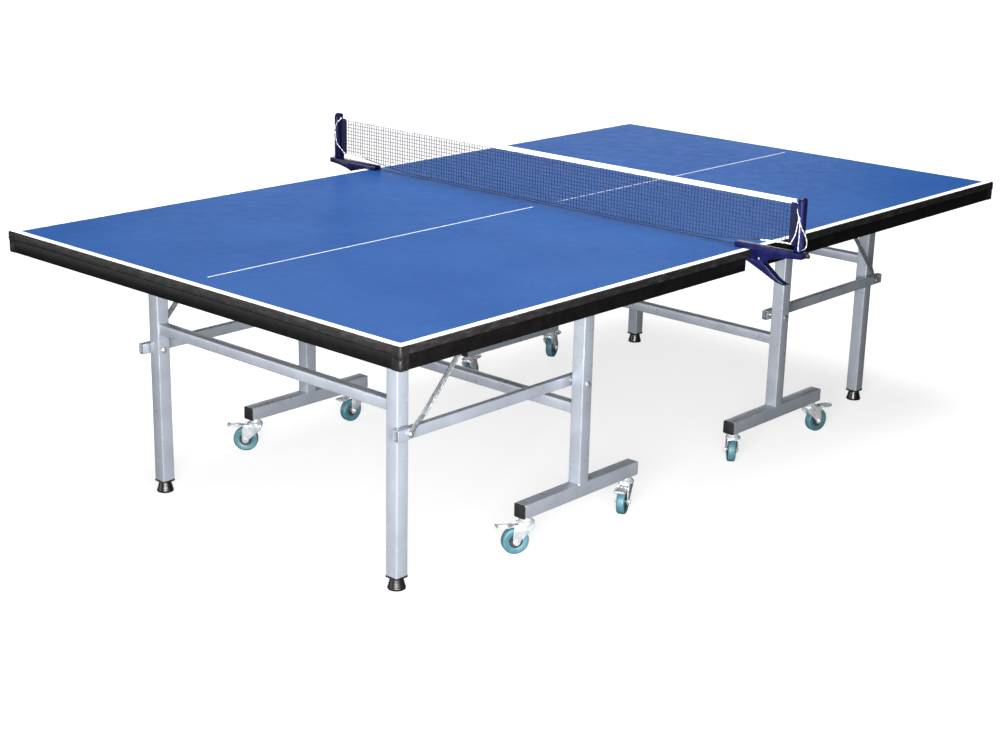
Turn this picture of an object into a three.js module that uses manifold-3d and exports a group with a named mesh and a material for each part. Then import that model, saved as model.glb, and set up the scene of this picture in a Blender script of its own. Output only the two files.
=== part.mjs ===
// A folding table-tennis table in two roll-away halves, with a clamp-on net.
// Millimetres, +Z up. The origin is on the floor under the middle of the net line;
// +X runs along the playing length and +Y across it.

import * as THREE from 'three';
import { mergeVertices } from 'three/addons/utils/BufferGeometryUtils.js';
import Module from 'manifold-3d';

const wasm = await Module();
wasm.setup();

// ---------------------------------------------------------------- driving dimensions

const CLEAR = 0.3; // gap kept between touching pieces
const TURN_CLEAR = 0.8; // gap round a bolt or pin in its hole
const SIDE_GAP = 1; // sideways gap between links that turn past each other

const PLAY_LENGTH = 2740;
const PLAY_WIDTH = 1525;
const PLAY_HEIGHT = 760;
const BOARD_THICKNESS = 18;
const SEAM_GAP = 6;

const BAND_DEPTH = 21; // rounded upper band of the edge frame
const BAND_BULGE = 3.2;
const LOWER_BAND_OUT = 2.4;
const EDGE_DEPTH = 57.5; // whole edge frame, below the playing surface
const EDGE_SHEET = 2.4;
const EDGE_FLANGE = 24;
const CLAMP_NOTCH = 47; // the lower band stops here, to leave room for the net clamp

const TUBE = 40; // square tube of the legs, posts and floor bars
const TUBE_WALL = 2;
const TUBE_CORNER = 3.5;
const CROSS_TUBE = 30;
const PIVOT_RISE = 14; // tube carried on above a top pivot
const PIVOT_DEPTH = 48; // top pivots, below the playing surface
const LEG_INSET = 275; // leg, from the end line
const LEG_SPACING = 950; // between leg centres
const LEG_BOTTOM = 33;
const LEG_CROSSBAR_HEIGHT = 490;
const POST_FROM_SEAM = 476;
const FLOOR_BAR_LENGTH = 478;
const FLOOR_BAR_BOTTOM = 104;
const POST_CROSSBAR_HEIGHT = 354;

const LINK_DROP = 285; // link pivots, below the top pivots
const LINK_WIDTH = 20;
const LINK_HEIGHT = 30;
const LINK_OUTER_END = 40;
const LINK_INNER_END = 19;
const BRACE_REACH = 269.5; // brace top, measured along the board from the leg pivot
const BRACE_WIDTH = 16;
const BRACE_THICKNESS = 3.5;

const BOLT_DIAMETER = 10;
const BOLT_HEAD_DIAMETER = 17;
const BOLT_HEAD = 4;
const RAIL_SHEET = 3;
const RAIL_FLANGE = 27;
const EAR_RADIUS = 14;
const EAR_HALF_LENGTH = 30;

const FOOT_DIAMETER = 48;
const FOOT_STEM_DIAMETER = 12;
const FOOT_STEM_LENGTH = 34;

const WHEEL_DIAMETER = 75;
const WHEEL_WIDTH = 24;
const WHEEL_HUB_DIAMETER = 24;
const CASTER_TRAIL = 30;
const CASTER_INSET = 25; // swivel axis, from the end of the floor bar
const AXLE_DIAMETER = 8;
const FORK_SHEET = 3;
const FORK_GAP = 2.5; // wheel face to fork plate
const FORK_CLEAR = 8; // wheel top to fork crown
const RACE_DIAMETER = 46;
const STEM_DIAMETER = 11;
const PEDAL_LENGTH = 58;
const PEDAL_PIVOT_TRAIL = 27;
const PEDAL_SHEET = 3;
const PEDAL_PIN_DIAMETER = 4;

const NET_HEIGHT = 152.5;
const NET_OVERHANG = 144.5; // net post, outside the side line
const NET_LINE = -8; // net, from the seam line: its clamps grip half A
const NET_THICKNESS = 3;
const NET_LIFT = 5; // net's lower edge, above the surface
const POST_WIDTH = 30;
const POST_DEPTH = 14;
const POST_RISE = 4; // net post above the net
const POST_SHEET = 2.5;
const CLAMP_WIDTH = 26;
const CLAMP_HEIGHT = 15;
const CLAMP_SEAM_GAP = 4; // clamp side, from the seam line
const CLAMP_END = 16; // arm carried on past the post
const CLAMP_SHEET = 2.5;
const WEB_NOTCH = 20; // deepest point of the clamp's arm, beyond its pivot
const JAW_REACH = 50; // upper jaw, inward from the side line
const LOWER_JAW_REACH = 28;
const LEVER_PIVOT_OUT = 32; // clamp pivot, outward from the side line
const LEVER_PIVOT_DEPTH = 20;
const LEVER_REACH = 124;
const LEVER_DROP = 79;
const RIVET_DIAMETER = 6;
const KNOB_DIAMETER = 15;
const KNOB_LENGTH = 11;
const CORD_DIAMETER = 3;

// swivel directions of the casters at rest, in degrees from +X
const CASTER_HEADINGS = {
  half_a: { left_outer: 132, left_inner: 180, right_outer: 150, right_inner: 205 },
  half_b: { left_outer: 20, left_inner: 20, right_outer: -15, right_inner: 40 },
};

// ---------------------------------------------------------------- derived places

const HALF_LENGTH = PLAY_LENGTH / 2;
const HALF_WIDTH = PLAY_WIDTH / 2;
const PIVOT_HEIGHT = PLAY_HEIGHT - PIVOT_DEPTH;
const LINK_PIVOT_HEIGHT = PIVOT_HEIGHT - LINK_DROP;
const LEG_X = HALF_LENGTH - LEG_INSET;
const LEG_Y = LEG_SPACING / 2;
const BOARD_BOTTOM = PLAY_HEIGHT - BOARD_THICKNESS;

// sideways stack from the leg out to the post: leg, link, brace, rail, post
const LEG_FACE = LEG_Y + TUBE / 2;
const FOOT_GAP = Math.max(0, (FOOT_DIAMETER - TUBE) / 2) + SIDE_GAP; // the folded foot passes the link
const LINK_FACE = LEG_FACE + FOOT_GAP + LINK_WIDTH;
const BRACE_FACE = LINK_FACE + SIDE_GAP + BRACE_THICKNESS;
const RAIL_PLATE = BRACE_FACE + CLEAR + BOLT_HEAD + SIDE_GAP;
const POST_FACE = RAIL_PLATE + RAIL_SHEET + SIDE_GAP / 2;
const POST_Y = POST_FACE + TUBE / 2;
const POST_OUTER_FACE = POST_FACE + TUBE;
const RAIL_OUTER_EAR = POST_OUTER_FACE + SIDE_GAP;

const AXLE_HEIGHT = WHEEL_DIAMETER / 2;
const CROWN_BOTTOM = WHEEL_DIAMETER + FORK_CLEAR;
const FORK_INNER = WHEEL_WIDTH / 2 + FORK_GAP;
const PEDAL_PIVOT_HEIGHT = CROWN_BOTTOM - 1.5 * PEDAL_PIN_DIAMETER + 2;

const CLAMP_INNER = -CLAMP_SEAM_GAP - CLAMP_WIDTH;
const CLAMP_OUTER = -CLAMP_SEAM_GAP;

// ---------------------------------------------------------------- materials

function finish(colour, roughness, metalness) {
  return new THREE.MeshStandardMaterial({ color: colour, roughness, metalness });
}

const MATERIALS = {
  surface: finish(0x2f5aa8, 0.45, 0),
  edge: finish(0x1b1a1a, 0.5, 0.2),
  steel: finish(0xb4bcc4, 0.4, 0.6),
  zinc: finish(0xc9ced2, 0.3, 0.9),
  rubber: finish(0x161616, 0.8, 0),
  tyre: finish(0x3f6f78, 0.6, 0),
  net: finish(0x1f2a55, 0.9, 0),
  clamp: finish(0x1c1d56, 0.35, 0.3),
  cord: finish(0xf2f2ee, 0.8, 0),
};

// ---------------------------------------------------------------- solids

// A closed three.js geometry as a solid; faces are turned outward if they point in.
function solid(geometry) {
  geometry.deleteAttribute('normal');
  geometry.deleteAttribute('uv');
  const merged = mergeVertices(geometry, 1e-4);
  const points = merged.attributes.position.array;
  const faces = Array.from(merged.index.array);
  let volume = 0;
  for (let i = 0; i < faces.length; i += 3) {
    const [a, b, c] = [0, 1, 2].map((k) => new THREE.Vector3().fromArray(points, 3 * faces[i + k]));
    volume += a.dot(b.cross(c));
  }
  if (volume < 0) faces.reverse();
  return new wasm.Manifold(new wasm.Mesh({
    numProp: 3,
    vertProperties: Float32Array.from(points),
    triVerts: Uint32Array.from(faces),
  }));
}

function unite(parts) {
  return parts.reduce((sum, part) => sum.add(part));
}

function box(x0, x1, y0, y1, z0, z1) {
  const geometry = new THREE.BoxGeometry(x1 - x0, y1 - y0, z1 - z0);
  geometry.translate((x0 + x1) / 2, (y0 + y1) / 2, (z0 + z1) / 2);
  return solid(geometry);
}

// Turns a form built along Z so that it runs along the given axis.
// Its own X and Y become Y and Z on axis x, and X and Z on axis y.
function turn(geometry, axis) {
  const basis = new THREE.Matrix4();
  if (axis === 'x') {
    basis.makeBasis(new THREE.Vector3(0, 1, 0), new THREE.Vector3(0, 0, 1), new THREE.Vector3(1, 0, 0));
  }
  if (axis === 'y') {
    basis.makeBasis(new THREE.Vector3(1, 0, 0), new THREE.Vector3(0, 0, 1), new THREE.Vector3(0, -1, 0));
  }
  return geometry.applyMatrix4(basis);
}

// A flat shape carried from start to end along an axis.
function prism(axis, shape, start, end, curveSegments = 3) {
  const options = { depth: end - start, bevelEnabled: false, curveSegments };
  const geometry = new THREE.ExtrudeGeometry(shape, options);
  geometry.translate(0, 0, axis === 'y' ? -end : start);
  return solid(turn(geometry, axis));
}

function outline(points) {
  return new THREE.Shape(points.map(([x, y]) => new THREE.Vector2(x, y)));
}

function rod(axis, diameter, start, end, across = 0, up = 0, curveSegments = 5) {
  const ring = new THREE.Shape();
  ring.absarc(across, up, diameter / 2, 0, 2 * Math.PI);
  return prism(axis, ring, start, end, curveSegments);
}

function roundedRectangle(width, height, radius) {
  const x = width / 2 - radius;
  const y = height / 2 - radius;
  const shape = new THREE.Shape();
  shape.absarc(x, y, radius, 0, Math.PI / 2);
  shape.absarc(-x, y, radius, Math.PI / 2, Math.PI);
  shape.absarc(-x, -y, radius, Math.PI, 1.5 * Math.PI);
  shape.absarc(x, -y, radius, 1.5 * Math.PI, 2 * Math.PI);
  return shape;
}

function tubeBore(axis, width, height, start, end) {
  const inner = [width - 2 * TUBE_WALL, height - 2 * TUBE_WALL];
  return prism(axis, roundedRectangle(...inner, TUBE_CORNER - TUBE_WALL / 2), start, end, 1);
}

// A rectangular tube, open at both ends, with its centre line on the axis.
function tube(axis, width, height, start, end) {
  const shell = prism(axis, roundedRectangle(width, height, TUBE_CORNER), start, end, 1);
  return shell.subtract(tubeBore(axis, width, height, start - 1, end + 1));
}

// A round profile of [radius, height] points, turned about the vertical axis.
function turned(profile, segments) {
  const points = profile.map(([radius, height]) => new THREE.Vector2(radius, height));
  const geometry = new THREE.LatheGeometry(points, segments);
  geometry.rotateX(Math.PI / 2);
  return solid(geometry);
}

function piece(name, form, material, x = 0, y = 0, z = 0) {
  const data = form.getMesh();
  const geometry = new THREE.BufferGeometry();
  geometry.setAttribute('position', new THREE.BufferAttribute(data.vertProperties, 3));
  geometry.setIndex(new THREE.BufferAttribute(data.triVerts, 1));
  const flat = geometry.toNonIndexed();
  flat.computeVertexNormals();
  const mesh = new THREE.Mesh(flat, material);
  mesh.name = name;
  mesh.position.set(x, y, z);
  return mesh;
}

// ---------------------------------------------------------------- top of one half
// Every half is built with its playing end toward +X and the seam at X = 0.

function board() {
  return box(SEAM_GAP / 2, HALF_LENGTH, -HALF_WIDTH, HALF_WIDTH, BOARD_BOTTOM, PLAY_HEIGHT);
}

// Section of the edge frame: out from the playing edge, and down from the surface.
function edgeSection() {
  const bulge = BAND_BULGE;
  const neck = BAND_DEPTH + 1;
  const under = BOARD_THICKNESS + CLEAR;
  return [
    [CLEAR, 0.5],
    [0.6 * bulge, 1.5],
    [bulge, 5],
    [bulge, BAND_DEPTH - 4],
    [0.5 * bulge, BAND_DEPTH],
    [0.7, BAND_DEPTH],
    [0.7, neck],
    [LOWER_BAND_OUT, neck + 0.5],
    [LOWER_BAND_OUT, EDGE_DEPTH],
    [-EDGE_FLANGE, EDGE_DEPTH],
    [-EDGE_FLANGE, EDGE_DEPTH - EDGE_SHEET],
    [LOWER_BAND_OUT - EDGE_SHEET, EDGE_DEPTH - EDGE_SHEET],
    [LOWER_BAND_OUT - EDGE_SHEET, under + EDGE_SHEET],
    [-EDGE_FLANGE, under + EDGE_SHEET],
    [-EDGE_FLANGE, under],
    [CLEAR, under],
  ];
}

// The section swept round three sides of the board, mitred at the two corners.
function edgeFrame() {
  const section = edgeSection();
  const seam = SEAM_GAP / 2;
  const stations = [
    (out) => [seam, -HALF_WIDTH - out],
    (out) => [HALF_LENGTH + out, -HALF_WIDTH - out],
    (out) => [HALF_LENGTH + out, HALF_WIDTH + out],
    (out) => [seam, HALF_WIDTH + out],
  ];
  const vertices = [];
  for (const station of stations) {
    for (const [out, down] of section) {
      vertices.push(...station(out), PLAY_HEIGHT - down);
    }
  }
  const count = section.length;
  const faces = [];
  for (let s = 0; s < stations.length - 1; s += 1) {
    for (let i = 0; i < count; i += 1) {
      const a = s * count + i;
      const b = s * count + ((i + 1) % count);
      faces.push(a, b, a + count, b, b + count, a + count);
    }
  }
  const cap = THREE.ShapeUtils.triangulateShape(section.map(([x, y]) => new THREE.Vector2(x, y)), []);
  const last = (stations.length - 1) * count;
  for (const [a, b, c] of cap) {
    faces.push(a, c, b, last + a, last + b, last + c);
  }
  const geometry = new THREE.BufferGeometry();
  geometry.setAttribute('position', new THREE.Float32BufferAttribute(vertices, 3));
  geometry.setIndex(faces);
  const notchTop = PLAY_HEIGHT - BAND_DEPTH - 0.8;
  const notch = box(0, CLAMP_NOTCH, -PLAY_WIDTH, PLAY_WIDTH, notchTop - PLAY_HEIGHT / 2, notchTop);
  return solid(geometry).subtract(notch);
}

// Bearing ear that hangs from the board, with a round lower end about its pivot.
function ear(x, start, end, top) {
  const shape = new THREE.Shape();
  shape.moveTo(x - EAR_HALF_LENGTH, top);
  shape.lineTo(x - EAR_RADIUS, PIVOT_HEIGHT);
  shape.absarc(x, PIVOT_HEIGHT, EAR_RADIUS, Math.PI, 2 * Math.PI);
  shape.lineTo(x + EAR_HALF_LENGTH, top);
  return prism('y', shape, start, end, 4);
}

// Rail under the board: it carries the leg pivot at one end, the post pivot at the
// other, and the track of the brace between them.
function slideRail() {
  const top = BOARD_BOTTOM - CLEAR;
  const flangeBottom = top - RAIL_SHEET;
  const innerEar = LEG_Y - TUBE / 2 - SIDE_GAP - RAIL_SHEET;
  const legEar = LEG_FACE + SIDE_GAP;
  const plateBottom = PIVOT_HEIGHT - BOLT_DIAMETER;
  const postEnd = POST_FROM_SEAM - EAR_HALF_LENGTH;
  const legEnd = LEG_X + EAR_HALF_LENGTH;
  return unite([
    box(postEnd, legEnd, RAIL_PLATE, RAIL_PLATE + RAIL_FLANGE, flangeBottom, top),
    box(postEnd, legEnd, RAIL_PLATE, RAIL_PLATE + RAIL_SHEET, plateBottom, top),
    box(LEG_X - EAR_HALF_LENGTH, legEnd, innerEar, RAIL_PLATE + RAIL_SHEET, flangeBottom, top),
    ear(LEG_X, innerEar, innerEar + RAIL_SHEET, top),
    ear(LEG_X, legEar, legEar + RAIL_SHEET, top),
    rod('y', BOLT_DIAMETER, innerEar, legEar + RAIL_SHEET, LEG_X, PIVOT_HEIGHT),
    box(postEnd, postEnd + 2 * EAR_HALF_LENGTH, RAIL_PLATE, RAIL_OUTER_EAR + RAIL_SHEET, flangeBottom, top),
    ear(POST_FROM_SEAM, RAIL_PLATE, RAIL_PLATE + RAIL_SHEET, top),
    ear(POST_FROM_SEAM, RAIL_OUTER_EAR, RAIL_OUTER_EAR + RAIL_SHEET, top),
    rod('y', BOLT_DIAMETER, RAIL_PLATE, RAIL_OUTER_EAR + RAIL_SHEET, POST_FROM_SEAM, PIVOT_HEIGHT),
  ]);
}

// ---------------------------------------------------------------- frames of one half

function boltHole(x, z, centreY) {
  const reach = TUBE;
  return rod('y', BOLT_DIAMETER + 2 * TURN_CLEAR, centreY - reach, centreY + reach, x, z);
}

// Two legs and their crossbar, welded. Built about the leg pivots, with z = 0 on them.
function legFrame() {
  const bottom = LEG_BOTTOM - PIVOT_HEIGHT;
  const sides = [-1, 1].map((side) => {
    const leg = tube('z', TUBE, TUBE, bottom, PIVOT_RISE).translate([0, side * LEG_Y, 0]);
    return leg.subtract(boltHole(0, 0, side * LEG_Y)).subtract(boltHole(0, -LINK_DROP, side * LEG_Y));
  });
  const reach = LEG_Y - TUBE / 2 + TUBE_WALL / 2;
  const vent = reach + TUBE_WALL;
  const height = LEG_CROSSBAR_HEIGHT - PIVOT_HEIGHT;
  const crossbar = tube('y', CROSS_TUBE, CROSS_TUBE, -reach, reach).translate([0, 0, height]);
  const bore = tubeBore('y', CROSS_TUBE, CROSS_TUBE, -vent, vent).translate([0, 0, height]);
  return unite([...sides, crossbar]).subtract(bore);
}

// Post on its floor bar. Built about the post, with z = 0 on the floor.
function postFrame() {
  const barTop = FLOOR_BAR_BOTTOM + TUBE;
  const bar = tube('x', TUBE, TUBE, -FLOOR_BAR_LENGTH / 2, FLOOR_BAR_LENGTH / 2);
  const post = tube('z', TUBE, TUBE, barTop - TUBE_WALL / 2, PIVOT_HEIGHT + PIVOT_RISE);
  const swivel = FLOOR_BAR_LENGTH / 2 - CASTER_INSET;
  const stemHoles = [-swivel, swivel].map((x) => (
    rod('z', STEM_DIAMETER + 2 * TURN_CLEAR, FLOOR_BAR_BOTTOM - 1, FLOOR_BAR_BOTTOM + TUBE / 2, x, 0, 4)));
  const frame = unite([bar.translate([0, 0, FLOOR_BAR_BOTTOM + TUBE / 2]), post]);
  return [boltHole(0, PIVOT_HEIGHT, 0), boltHole(0, LINK_PIVOT_HEIGHT, 0), ...stemHoles]
    .reduce((rest, hole) => rest.subtract(hole), frame);
}

// Crossbar between the posts, with the heads of its bolts left to the posts.
function postCrossbar() {
  return tube('y', CROSS_TUBE, CROSS_TUBE, -POST_FACE + CLEAR, POST_FACE - CLEAR);
}

// Link bar with its two bolts. Built about its post pivot, leg end toward +X,
// and +Y toward the outside of the table.
function linkBar() {
  const span = LEG_X - POST_FROM_SEAM;
  const inner = LINK_FACE - LINK_WIDTH;
  const middle = LINK_FACE - LINK_WIDTH / 2;
  const bar = tube('x', LINK_WIDTH, LINK_HEIGHT, -LINK_INNER_END, span + LINK_OUTER_END);
  const postHead = POST_OUTER_FACE + CLEAR;
  const legHead = BRACE_FACE + CLEAR;
  const nutFace = LEG_Y - TUBE / 2 - CLEAR;
  return unite([
    bar.translate([0, middle, 0]),
    rod('y', BOLT_DIAMETER, inner, postHead + BOLT_HEAD, 0, 0),
    rod('y', BOLT_HEAD_DIAMETER, postHead, postHead + BOLT_HEAD, 0, 0, 3),
    rod('y', BOLT_DIAMETER, nutFace - 2 * BOLT_HEAD, legHead + BOLT_HEAD, span, 0),
    rod('y', BOLT_HEAD_DIAMETER, legHead, legHead + BOLT_HEAD, span, 0, 3),
    rod('y', BOLT_HEAD_DIAMETER, nutFace - BOLT_HEAD, nutFace, span, 0, 3),
  ]);
}

// Flat brace, built about its lower pivot and leaning toward -X.
function brace() {
  const length = Math.hypot(BRACE_REACH, LINK_DROP);
  const lean = Math.atan2(BRACE_REACH, LINK_DROP);
  const radius = BRACE_WIDTH / 2 + 1;
  const shape = new THREE.Shape();
  shape.absarc(0, 0, radius, Math.PI, 2 * Math.PI);
  shape.lineTo(BRACE_WIDTH / 2, radius);
  shape.lineTo(BRACE_WIDTH / 2, length - radius);
  shape.absarc(0, length, radius, 0, Math.PI);
  shape.lineTo(-BRACE_WIDTH / 2, length - radius);
  shape.lineTo(-BRACE_WIDTH / 2, radius);
  const hole = new THREE.Path();
  hole.absarc(0, 0, BOLT_DIAMETER / 2 + TURN_CLEAR, 0, 2 * Math.PI);
  shape.holes.push(hole);
  const bar = prism('y', shape, BRACE_FACE - BRACE_THICKNESS, BRACE_FACE, 4);
  return bar.rotate([0, -THREE.MathUtils.radToDeg(lean), 0]);
}

// ---------------------------------------------------------------- feet and casters

// Rubber foot with its threaded stem, which turns in and out of the leg.
function foot() {
  const base = FOOT_DIAMETER / 2;
  const neck = 0.72 * base;
  const stem = FOOT_STEM_DIAMETER / 2;
  const top = LEG_BOTTOM - 4;
  return turned([
    [0, 0],
    [base - 1, 0],
    [base, 1.5],
    [base, 4],
    [0.9 * base, 0.45 * top],
    [neck, top],
    [stem, top],
    [stem, top + FOOT_STEM_LENGTH],
    [0, top + FOOT_STEM_LENGTH],
  ], 14);
}

// Caster fork, built about its swivel axis with the wheel trailing toward +X.
function casterFork() {
  const crownTop = CROWN_BOTTOM + FORK_SHEET;
  const race = RACE_DIAMETER / 2;
  const boss = AXLE_DIAMETER + 1;
  const shape = new THREE.Shape();
  shape.moveTo(-0.8 * race, crownTop);
  shape.lineTo(-0.8 * race, CROWN_BOTTOM - 6);
  shape.lineTo(CASTER_TRAIL - boss, AXLE_HEIGHT);
  shape.absarc(CASTER_TRAIL, AXLE_HEIGHT, boss, Math.PI, 2 * Math.PI);
  shape.lineTo(CASTER_TRAIL + boss, CROWN_BOTTOM - 10);
  shape.lineTo(CASTER_TRAIL + boss - 4, crownTop);
  const outer = FORK_INNER + FORK_SHEET;
  const reach = 0.8 * race;
  const raceTop = FLOOR_BAR_BOTTOM - CLEAR;
  const solidFork = unite([
    prism('y', shape, FORK_INNER, outer, 2),
    prism('y', shape, -outer, -FORK_INNER, 2),
    box(-reach, CASTER_TRAIL - 8, -outer, outer, CROWN_BOTTOM, crownTop),
    rod('z', RACE_DIAMETER, crownTop - 1, crownTop + 7, 0, 0, 6),
    rod('z', 0.7 * RACE_DIAMETER, crownTop + 7, raceTop, 0, 0, 4),
    rod('z', STEM_DIAMETER, raceTop - 1, FLOOR_BAR_BOTTOM + TUBE / 3, 0, 0, 3),
    rod('y', AXLE_DIAMETER, -outer - 2, outer + 2, CASTER_TRAIL, AXLE_HEIGHT, 4),
    rod('y', 1.6 * AXLE_DIAMETER, -outer - 4, -outer - 0.01, CASTER_TRAIL, AXLE_HEIGHT, 3),
    rod('y', 1.6 * AXLE_DIAMETER, outer + 0.01, outer + 4, CASTER_TRAIL, AXLE_HEIGHT, 3),
  ]);
  const pin = PEDAL_PIN_DIAMETER + 2 * TURN_CLEAR;
  const pinHole = rod('y', pin, -race * 2, race * 2, PEDAL_PIVOT_TRAIL, PEDAL_PIVOT_HEIGHT, 4);
  return solidFork.subtract(pinHole);
}

// Wheel and tyre about its axle, lying along Y.
function casterWheel() {
  const bore = AXLE_DIAMETER / 2 + TURN_CLEAR;
  const hub = WHEEL_HUB_DIAMETER / 2;
  const rim = WHEEL_DIAMETER / 2;
  const half = WHEEL_WIDTH / 2;
  const dish = 4;
  return turned([
    [bore, -half],
    [hub, -half],
    [0.7 * rim, -half + dish],
    [0.74 * rim, -half],
    [rim - 3, -half],
    [rim, -half + 4],
    [rim, half - 4],
    [rim - 3, half],
    [0.74 * rim, half],
    [0.7 * rim, half - dish],
    [hub, half],
    [bore, half],
    [bore, -half],
  ], 12).rotate([90, 0, 0]);
}

// Brake pedal about its pin, lying along Y.
function brakePedal() {
  const inner = FORK_INNER - CLEAR - 0.5;
  const flareStart = CASTER_TRAIL + AXLE_DIAMETER + 4 - PEDAL_PIVOT_TRAIL;
  const half = PEDAL_SHEET / 2;
  const plan = outline([
    [-4, -inner],
    [flareStart, -inner],
    [flareStart + 5, -inner - 4],
    [PEDAL_LENGTH - 4, -inner - 4],
    [PEDAL_LENGTH, -inner],
    [PEDAL_LENGTH, inner],
    [PEDAL_LENGTH - 4, inner + 4],
    [flareStart + 5, inner + 4],
    [flareStart, inner],
    [-4, inner],
  ]);
  const outer = FORK_INNER + FORK_SHEET;
  return unite([
    prism('z', plan, -half, half),
    rod('y', PEDAL_PIN_DIAMETER, -outer, outer, 0, 0, 4),
    box(PEDAL_LENGTH - 3, PEDAL_LENGTH, -inner, inner, 0, 2 * PEDAL_SHEET),
  ]);
}

// ---------------------------------------------------------------- net

// Upper jaw, arm, foot plate, post and knob of one net clamp, as one bracket.
// Built for the +Y side, with y = 0 on the side line and z = 0 on the surface.
function netBracket() {
  const start = BAND_BULGE + SIDE_GAP + 0.5;
  const end = NET_OVERHANG + POST_DEPTH / 2 + CLAMP_END;
  const pivotY = LEVER_PIVOT_OUT;
  const web = new THREE.Shape();
  web.moveTo(start, CLEAR);
  web.lineTo(start, -LEVER_PIVOT_DEPTH - 4);
  web.lineTo(pivotY + WEB_NOTCH, -LEVER_PIVOT_DEPTH - 4);
  web.quadraticCurveTo(0.55 * end, CLEAR - 4, end, CLEAR);
  web.lineTo(end, CLAMP_HEIGHT);
  web.lineTo(-JAW_REACH, CLAMP_HEIGHT);
  web.lineTo(-JAW_REACH, CLEAR);
  const postTop = NET_LIFT + NET_HEIGHT + POST_RISE;
  const postInner = NET_OVERHANG - POST_DEPTH / 2;
  const postOuter = NET_OVERHANG + POST_DEPTH / 2;
  const plate = new THREE.Shape();
  const corner = POST_WIDTH / 3;
  plate.moveTo(-POST_WIDTH / 2, CLEAR);
  plate.lineTo(POST_WIDTH / 2, CLEAR);
  plate.absarc(POST_WIDTH / 2 - corner, postTop - corner, corner, 0, Math.PI / 2);
  plate.absarc(-POST_WIDTH / 2 + corner, postTop - corner, corner, Math.PI / 2, Math.PI);
  const knobHeight = CLAMP_HEIGHT / 2;
  const form = unite([
    prism('x', web, CLAMP_INNER, CLAMP_INNER + CLAMP_SHEET),
    prism('x', web, CLAMP_OUTER - CLAMP_SHEET, CLAMP_OUTER),
    box(CLAMP_INNER, CLAMP_OUTER, -JAW_REACH, end, CLAMP_HEIGHT - CLAMP_SHEET, CLAMP_HEIGHT),
    box(CLAMP_INNER, CLAMP_OUTER, -JAW_REACH, 0, CLEAR, CLEAR + CLAMP_SHEET),
    box(CLAMP_INNER, NET_LINE + POST_WIDTH / 2, postInner, end, CLEAR, CLAMP_HEIGHT),
    prism('y', plate, postInner, postOuter, 4).translate([NET_LINE, 0, 0]),
    rod('y', KNOB_DIAMETER, end - 1, end + KNOB_LENGTH, NET_LINE, knobHeight, 5),
  ]);
  const wide = POST_WIDTH / 2 - POST_SHEET;
  const channel = box(-wide, wide, postInner - 1, postOuter - POST_SHEET, CLAMP_HEIGHT, postTop - corner)
    .translate([NET_LINE, 0, 0]);
  const pin = RIVET_DIAMETER + 2 * TURN_CLEAR;
  const pinHole = rod('x', pin, CLAMP_INNER - 1, CLAMP_OUTER + 1, pivotY, -LEVER_PIVOT_DEPTH, 4);
  return form.subtract(channel).subtract(pinHole);
}

// Lower jaw and lever about the rivet, with the rivet itself.
function netLever() {
  const jawTop = -BAND_DEPTH - EDGE_SHEET - 1 + LEVER_PIVOT_DEPTH;
  const jawEnd = -LEVER_PIVOT_OUT - LOWER_JAW_REACH;
  const tipY = LEVER_REACH - LEVER_PIVOT_OUT;
  const tipZ = LEVER_PIVOT_DEPTH - LEVER_DROP;
  const bandFace = BAND_BULGE + SIDE_GAP + 0.5 - LEVER_PIVOT_OUT;
  const profile = outline([
    [jawEnd, jawTop],
    [jawEnd, jawTop - 7],
    [0.35 * tipY, 0.8 * tipZ],
    [tipY - 6, tipZ - 2],
    [tipY, tipZ + 2],
    [0.6 * tipY, 0.72 * tipZ],
    [12, -4],
    [6, 6],
    [bandFace, 6],
    [bandFace, jawTop],
  ]);
  const inner = CLAMP_INNER + CLAMP_SHEET + CLEAR;
  const outer = CLAMP_OUTER - CLAMP_SHEET - CLEAR;
  return unite([
    prism('x', profile, inner, outer),
    rod('x', RIVET_DIAMETER, CLAMP_INNER - 1.5, CLAMP_OUTER + 1.5, 0, 0, 4),
  ]);
}

// Tension cord: from the top tape, down the post to its hook, back up to a loop,
// and down to the bottom corner of the net.
function tensionCord() {
  const face = NET_LINE - POST_WIDTH / 2 - CORD_DIAMETER;
  const route = [
    [NET_LINE - CORD_DIAMETER - 1, NET_OVERHANG - 20, NET_HEIGHT - 8],
    [face, NET_OVERHANG - 8, NET_HEIGHT - 40],
    [face, NET_OVERHANG + 4, NET_HEIGHT - 100],
    [face, NET_OVERHANG + 12, CLAMP_HEIGHT + 14],
    [face, NET_OVERHANG + 9, CLAMP_HEIGHT + 6],
    [face, NET_OVERHANG - 1, CLAMP_HEIGHT + 5],
    [face, NET_OVERHANG - 4, CLAMP_HEIGHT + 18],
    [face, NET_OVERHANG - 5, NET_HEIGHT - 74],
    [face - 2, NET_OVERHANG - 9, NET_HEIGHT - 68],
    [face - 2, NET_OVERHANG - 13, NET_HEIGHT - 76],
    [face + 2, NET_OVERHANG - 22, CLAMP_HEIGHT + 26],
    [NET_LINE - CORD_DIAMETER - 2, NET_OVERHANG - 36, CLAMP_HEIGHT + 8],
  ].map((point) => new THREE.Vector3(...point));
  const section = new THREE.Shape();
  section.absarc(0, 0, CORD_DIAMETER / 2, 0, 2 * Math.PI);
  const path = new THREE.CatmullRomCurve3(route, false, 'centripetal');
  const geometry = new THREE.ExtrudeGeometry(section, {
    steps: 34,
    curveSegments: 3,
    bevelEnabled: false,
    extrudePath: path,
  });
  return solid(geometry);
}

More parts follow.
